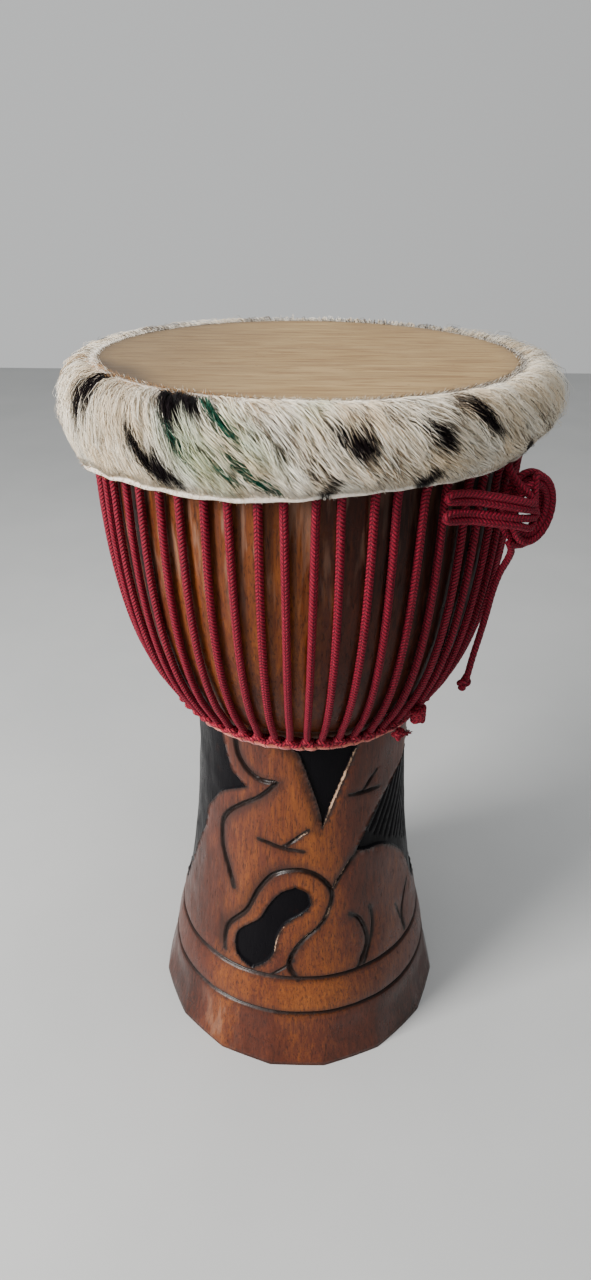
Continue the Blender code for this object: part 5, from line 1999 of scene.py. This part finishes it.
def make_goatskin():
    """The hide itself: head, collar, its thick cut edge, the fold underneath and the band on the shell."""
    around = np.linspace(-180.0, 180.0, SKIN_COLUMNS, endpoint=False)
    rings, hairy, along = zip(*skin_rings(around))
    points = np.vstack(rings)
    shape = Shape()
    shape.add(points, ring_faces(len(rings), SKIN_COLUMNS))
    shape.close_ring((0.0, 0.0, TOTAL_HEIGHT - HEAD_SAG), 0, SKIN_COLUMNS)
    underside = (0.0, 0.0, TOTAL_HEIGHT - SKIN - UNDERSIDE_DROP)
    shape.close_ring(underside, (len(rings) - 1) * SKIN_COLUMNS, SKIN_COLUMNS)
    hide = shape.make("hair_on_goatskin", hide_material())
    middles = (0.0, 0.0)
    angles = np.append(np.tile(around, len(rings)), middles)
    hairy = np.append(np.repeat(hairy, SKIN_COLUMNS), middles)
    along = np.append(np.repeat(along, SKIN_COLUMNS), middles)
    radius = np.append(np.hypot(points[:, 0], points[:, 1]), middles)
    on_top = np.append(points[:, 2] > TOTAL_HEIGHT - 0.001, (True, False))
    tint = np.ones((len(angles), 3))
    for marks, colour in ((COAT_SPOTS, COAT_BLACK), (DYE_STREAKS, COAT_GREEN)):
        strength = mark_strength(angles, along, marks)[:, None] * 0.9
        tint = tint + (colour * 2.0 - tint) * strength
    shade = head_shade(angles, radius, radius * np.sin(np.radians(angles))) * on_top
    add_numbers(hide, "hairy", hairy)
    add_numbers(hide, "shade", np.clip(shade, 0.0, 1.0))
    add_colours(hide, "tint", np.clip(tint, 0.01, 1.0))
    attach(hide, "root")
    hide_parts("goatskin")


HAIRS = 36500
HAIR_PIECES = 4
HAIR_SIDES = 3
HAIR_RINGS = (0.0, 0.32, 0.68)
HAIR_TAPER = (0.75, 1.0, 0.72)
HAIR_FLATNESS = 0.55
HAIR_LENGTHS = (0.021, 0.030)
HAIR_LIFTS = (0.0030, 0.0092)
HAIR_WIDTHS = (0.00018, 0.00037)
HAIR_ROOT_DEPTH = 0.0008
HAIR_CLEARANCE = 0.0003
HAIR_SHORTEST = 0.0016
STRAYS = 0.14
DEGREES_PER_RADIAN = 57.3
CLUMPS = 1500
STUBBLE = 9000


def bare_margin(angles):
    """Width of the strip along the cut edge that the hair leaves bare."""
    left = 1.0 - fade(0.0, 45.0, np.abs(wrapped(angles + 40.0)) - 25.0)
    return 0.0008 + 0.0014 * left + 0.0007 * np.sin(np.radians(23.0 * angles))


def unit(vectors):
    """The same directions with a length of one."""
    return vectors / np.maximum(np.linalg.norm(vectors, axis=1), 1e-9)[:, None]


def hair_faces():
    """Triangles of one closed strand: its sides, its tip and its root."""
    faces = []
    for ring in range(len(HAIR_RINGS) - 1):
        low = ring * HAIR_SIDES
        for corner in range(HAIR_SIDES):
            following = (corner + 1) % HAIR_SIDES
            faces.append((low + corner, low + following, low + HAIR_SIDES + following))
            faces.append((low + corner, low + HAIR_SIDES + following, low + HAIR_SIDES + corner))
    top = (len(HAIR_RINGS) - 1) * HAIR_SIDES
    for corner in range(HAIR_SIDES):
        faces.append((top + corner, top + (corner + 1) % HAIR_SIDES, top + HAIR_SIDES))
    faces.append((2, 1, 0))
    return np.array(faces)


def hair_block(angles, along, length, lift, width, lean, curl, flow):
    """Closed tapering strands that follow the hide and stand off it: points, triangles, where they lie."""
    count = len(angles)
    shares = HAIR_RINGS + (1.0,)
    lean = np.radians(lean)
    middles = []
    normals = []
    lying = []
    back = fade(95.0, 125.0, np.abs(wrapped(angles)))
    flattest = 0.16 + 0.50 * back
    turn = angles.copy()
    down = along.copy()
    for index, share in enumerate(shares):
        if index:
            bend = lean + curl * (share + shares[index - 1]) / 2.0
            run = length * (share - shares[index - 1])
            down = down + run * np.cos(bend)
            turn = turn + np.degrees(run * np.sin(bend) / COLLAR_RADIUS)
        normal = collar_normal(turn, down)
        near_rim = flattest + (1.0 - flattest) * fade(0.001, 0.016, down)
        near_edge = fade(-0.004, 0.024, COLLAR_LENGTH - down)
        arch = math.sin(0.5 * math.pi * min(share * 1.5, 1.0))
        arch = arch - (1.0 - flow) * 0.40 * max(share - 0.66, 0.0) / 0.34
        height = lift * arch * near_rim * near_edge + HAIR_CLEARANCE
        if not index:
            height = np.full(count, -HAIR_ROOT_DEPTH)
        middles.append(collar_place(turn, down) + normal * height[:, None])
        normals.append(normal)
        lying.append((turn, down))
    points = []
    for index, taper in enumerate(HAIR_TAPER):
        ahead = unit(middles[index + 1] - middles[index])
        side = unit(np.cross(ahead, normals[index]))
        up = np.cross(side, ahead)
        for corner in range(HAIR_SIDES):
            turn = TAU * corner / HAIR_SIDES + 0.5 * math.pi
            spread = side * math.cos(turn) + up * math.sin(turn) * HAIR_FLATNESS
            points.append(middles[index] + spread * (width * taper)[:, None])
    points.append(middles[-1])
    offsets = (np.arange(count) * len(points))[:, None, None]
    triangles = (hair_faces()[None] + offsets).reshape(-1, 3)
    return np.stack(points, axis=1).reshape(-1, 3), triangles, lying


def dress_coat(coat, lying, bases, chances):
    """Colours every strand ring by ring, so that a mark is sharp across the hair and feathered along it."""
    tints = []
    numbers = []
    jitter = (chances[:, -1] - 0.5) * 0.005
    for index, (share, (turn, down)) in enumerate(zip(HAIR_RINGS + (1.0,), lying)):
        colours = coat_colours(turn, down + jitter, bases, chances)
        copies = HAIR_SIDES if index < len(HAIR_RINGS) else 1
        tints.append(np.repeat(colours[:, None, :], copies, axis=1))
        numbers.append(np.full((len(colours), copies), share))
    tints = np.concatenate(tints, axis=1).reshape(-1, 3)
    add_numbers(coat, "along", np.concatenate(numbers, axis=1).reshape(-1))
    add_colours(coat, "tint", np.clip(tints, 0.001, 1.0))


def nearest_clumps(spots, homes):
    """Number of the clump nearest to every strand."""
    nearest = np.empty(len(spots), int)
    for chunk in np.array_split(np.arange(len(spots)), 24):
        gap = spots[chunk][:, None, :] - homes[None]
        nearest[chunk] = (gap ** 2).sum(axis=2).argmin(axis=1)
    return nearest


def make_hair():
    """The coat: tufts of combed strands all round the collar."""
    random = np.random.default_rng(17)
    angles = random.uniform(-180.0, 180.0, HAIRS)
    along = 0.0025 + (COLLAR_LENGTH - 0.0060) * random.uniform(0.0, 1.0, HAIRS) ** 0.95
    clump_angles = random.uniform(-180.0, 180.0, CLUMPS)
    clump_along = random.uniform(0.0, COLLAR_LENGTH, CLUMPS)
    home = np.stack([clump_angles / DEGREES_PER_RADIAN * COLLAR_RADIUS, clump_along], axis=1)
    spot = np.stack([angles / DEGREES_PER_RADIAN * COLLAR_RADIUS, along], axis=1)
    nearest = nearest_clumps(spot, home)
    clump_lean = random.normal(0.0, 6.0, CLUMPS)
    clump_curl = random.normal(0.0, 0.16, CLUMPS)
    clump_lift = random.uniform(0.90, 1.14, CLUMPS)
    clump_tone = random.normal(0.0, 0.16, CLUMPS)
    aside = (home[nearest] - spot)[:, 0] * MILLIMETRES
    lying = np.stack([np.radians(angles) * 3.0, along * 30.0, np.zeros(HAIRS)], axis=1)
    waves = soft_noise(lying, 1.0, 7.0)
    stray = random.uniform(0.0, 1.0, HAIRS) < STRAYS
    loose = random.normal(0.0, 1.0, HAIRS) * np.where(stray, 9.0, 3.4)
    lean = lean_at(angles) + clump_lean[nearest] * 0.8 + aside * 1.5 + waves * 22.0 + loose
    curl = clump_curl[nearest] - 0.20 + random.normal(0.0, 0.04, HAIRS)
    length = random.uniform(*HAIR_LENGTHS, HAIRS) * (0.50 + 0.50 * fade(0.0, 0.014, along))
    reach = COLLAR_LENGTH - bare_margin(angles) - along
    drop = length * np.cos(np.radians(np.clip(lean - 8.0, -60.0, 72.0)))
    length = np.where(drop > reach, length * np.clip(reach / drop, 0.06, 1.0), length)
    length = np.clip(length, HAIR_SHORTEST, None)
    right = fade(48.0, 80.0, angles) * (1.0 - fade(115.0, 145.0, angles))
    lift = random.uniform(*HAIR_LIFTS, HAIRS) * clump_lift[nearest] * (1.0 + 0.45 * right)
    flyaway = random.uniform(0.0, 1.0, HAIRS) < 0.030 + 0.090 * right
    lift = lift * np.where(flyaway, 1.32, 1.0) * np.clip(length / 0.020, 0.08, 1.0)
    width = random.uniform(*HAIR_WIDTHS, HAIRS) * np.where(stray, 0.75, 1.0) * np.where(flyaway, 0.6, 1.0)
    bases = coat_bases(angles, along, clump_tone[nearest], random)
    chances = random.uniform(0.0, 1.0, (HAIRS, len(COAT_MARKS) + 1))
    material = hair_material()
    strands = (angles, along, length, lift, width, lean, curl, right)
    order = np.argsort(angles, kind="stable")
    for index, chosen in enumerate(np.array_split(order, HAIR_PIECES)):
        points, triangles, lying = hair_block(*(numbers[chosen] for numbers in strands))
        shape = Shape()
        shape.add(points, triangles)
        coat = shape.make("coat_%d" % (index + 1), material, closed=False)
        dress_coat(coat, lying, bases[chosen], chances[chosen])
        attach(coat, "root")


STUBBLE_ON_EDGE = 0.16
STUBBLE_LENGTHS = (0.0018, 0.0048)
STUBBLE_WIDTHS = (0.00012, 0.00022)
STUBBLE_TAN = np.array((0.42, 0.22, 0.085))
STUBBLE_DARK = np.array((0.060, 0.048, 0.042))
STUBBLE_PALE = np.array((0.80, 0.74, 0.64))


def stubble_colours(angles, random):
    """Tan at the front left, dark at the right and the back, and pale between."""
    tan_share = fade(-85.0, -60.0, angles) * (1.0 - fade(-20.0, -5.0, angles))
    dark_share = fade(8.0, 22.0, angles) * 0.8 + (1.0 - fade(-130.0, -100.0, angles)) * 0.7
    pick = random.uniform(0.0, 1.0, (STUBBLE, 1))
    colours = np.where(pick < dark_share[:, None] * 0.75, STUBBLE_DARK, STUBBLE_PALE)
    colours = np.where(pick < tan_share[:, None] * 0.80, STUBBLE_TAN, colours)
    return colours * random.uniform(0.6, 1.15, (STUBBLE, 1))


def make_stubble():
    """Short stiff hairs left by the razor round the head's edge, and a few along the cut edge."""
    random = np.random.default_rng(23)
    angles = random.uniform(-180.0, 180.0, STUBBLE)
    low = random.uniform(0.0, 1.0, STUBBLE) < STUBBLE_ON_EDGE
    on_edge = COLLAR_LENGTH - random.uniform(0.0, 0.004, STUBBLE)
    along = np.where(low, on_edge, random.uniform(-0.0030, 0.0065, STUBBLE))
    on_head = (along < 0.0)[:, None]
    head_roots = places(angles, HEAD_EDGE + along, TOTAL_HEIGHT)
    roots = np.where(on_head, head_roots, collar_place(angles, np.abs(along)))
    normals = np.where(on_head, np.array((0.0, 0.0, 1.0)), collar_normal(angles, np.abs(along)))
    down = places(angles, 0.45, -0.8)
    aside = places(angles + 90.0, 0.6, 0.0)
    heading = normals * random.uniform(0.25, 0.9, (STUBBLE, 1)) + down * 0.55
    heading = unit(heading + aside * random.normal(0.35, 0.5, (STUBBLE, 1)))
    length = random.uniform(*STUBBLE_LENGTHS, STUBBLE) * np.where(low, 0.6, 1.0)
    side = unit(np.cross(heading, normals))
    up = np.cross(side, heading)
    width = random.uniform(*STUBBLE_WIDTHS, STUBBLE)[:, None]
    points = []
    for corner in range(HAIR_SIDES):
        turn = TAU * corner / HAIR_SIDES
        points.append(roots - normals * 0.0004 + (side * math.cos(turn) + up * math.sin(turn)) * width)
    points.append(roots + heading * length[:, None])
    faces = np.array(((0, 1, 3), (1, 2, 3), (2, 0, 3), (2, 1, 0)))
    triangles = (faces[None] + (np.arange(STUBBLE) * 4)[:, None, None]).reshape(-1, 3)
    colours = stubble_colours(angles, random)
    shape = Shape()
    shape.add(np.stack(points, axis=1).reshape(-1, 3), triangles)
    stubble = shape.make("coat_stubble", hair_material(), closed=False)
    add_numbers(stubble, "along", np.tile((0.4, 0.4, 0.4, 1.0), STUBBLE))
    add_colours(stubble, "tint", np.clip(np.repeat(colours, 4, axis=0), 0.003, 1.0))
    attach(stubble, "root")


make_goatskin()
make_hair()
make_stubble()
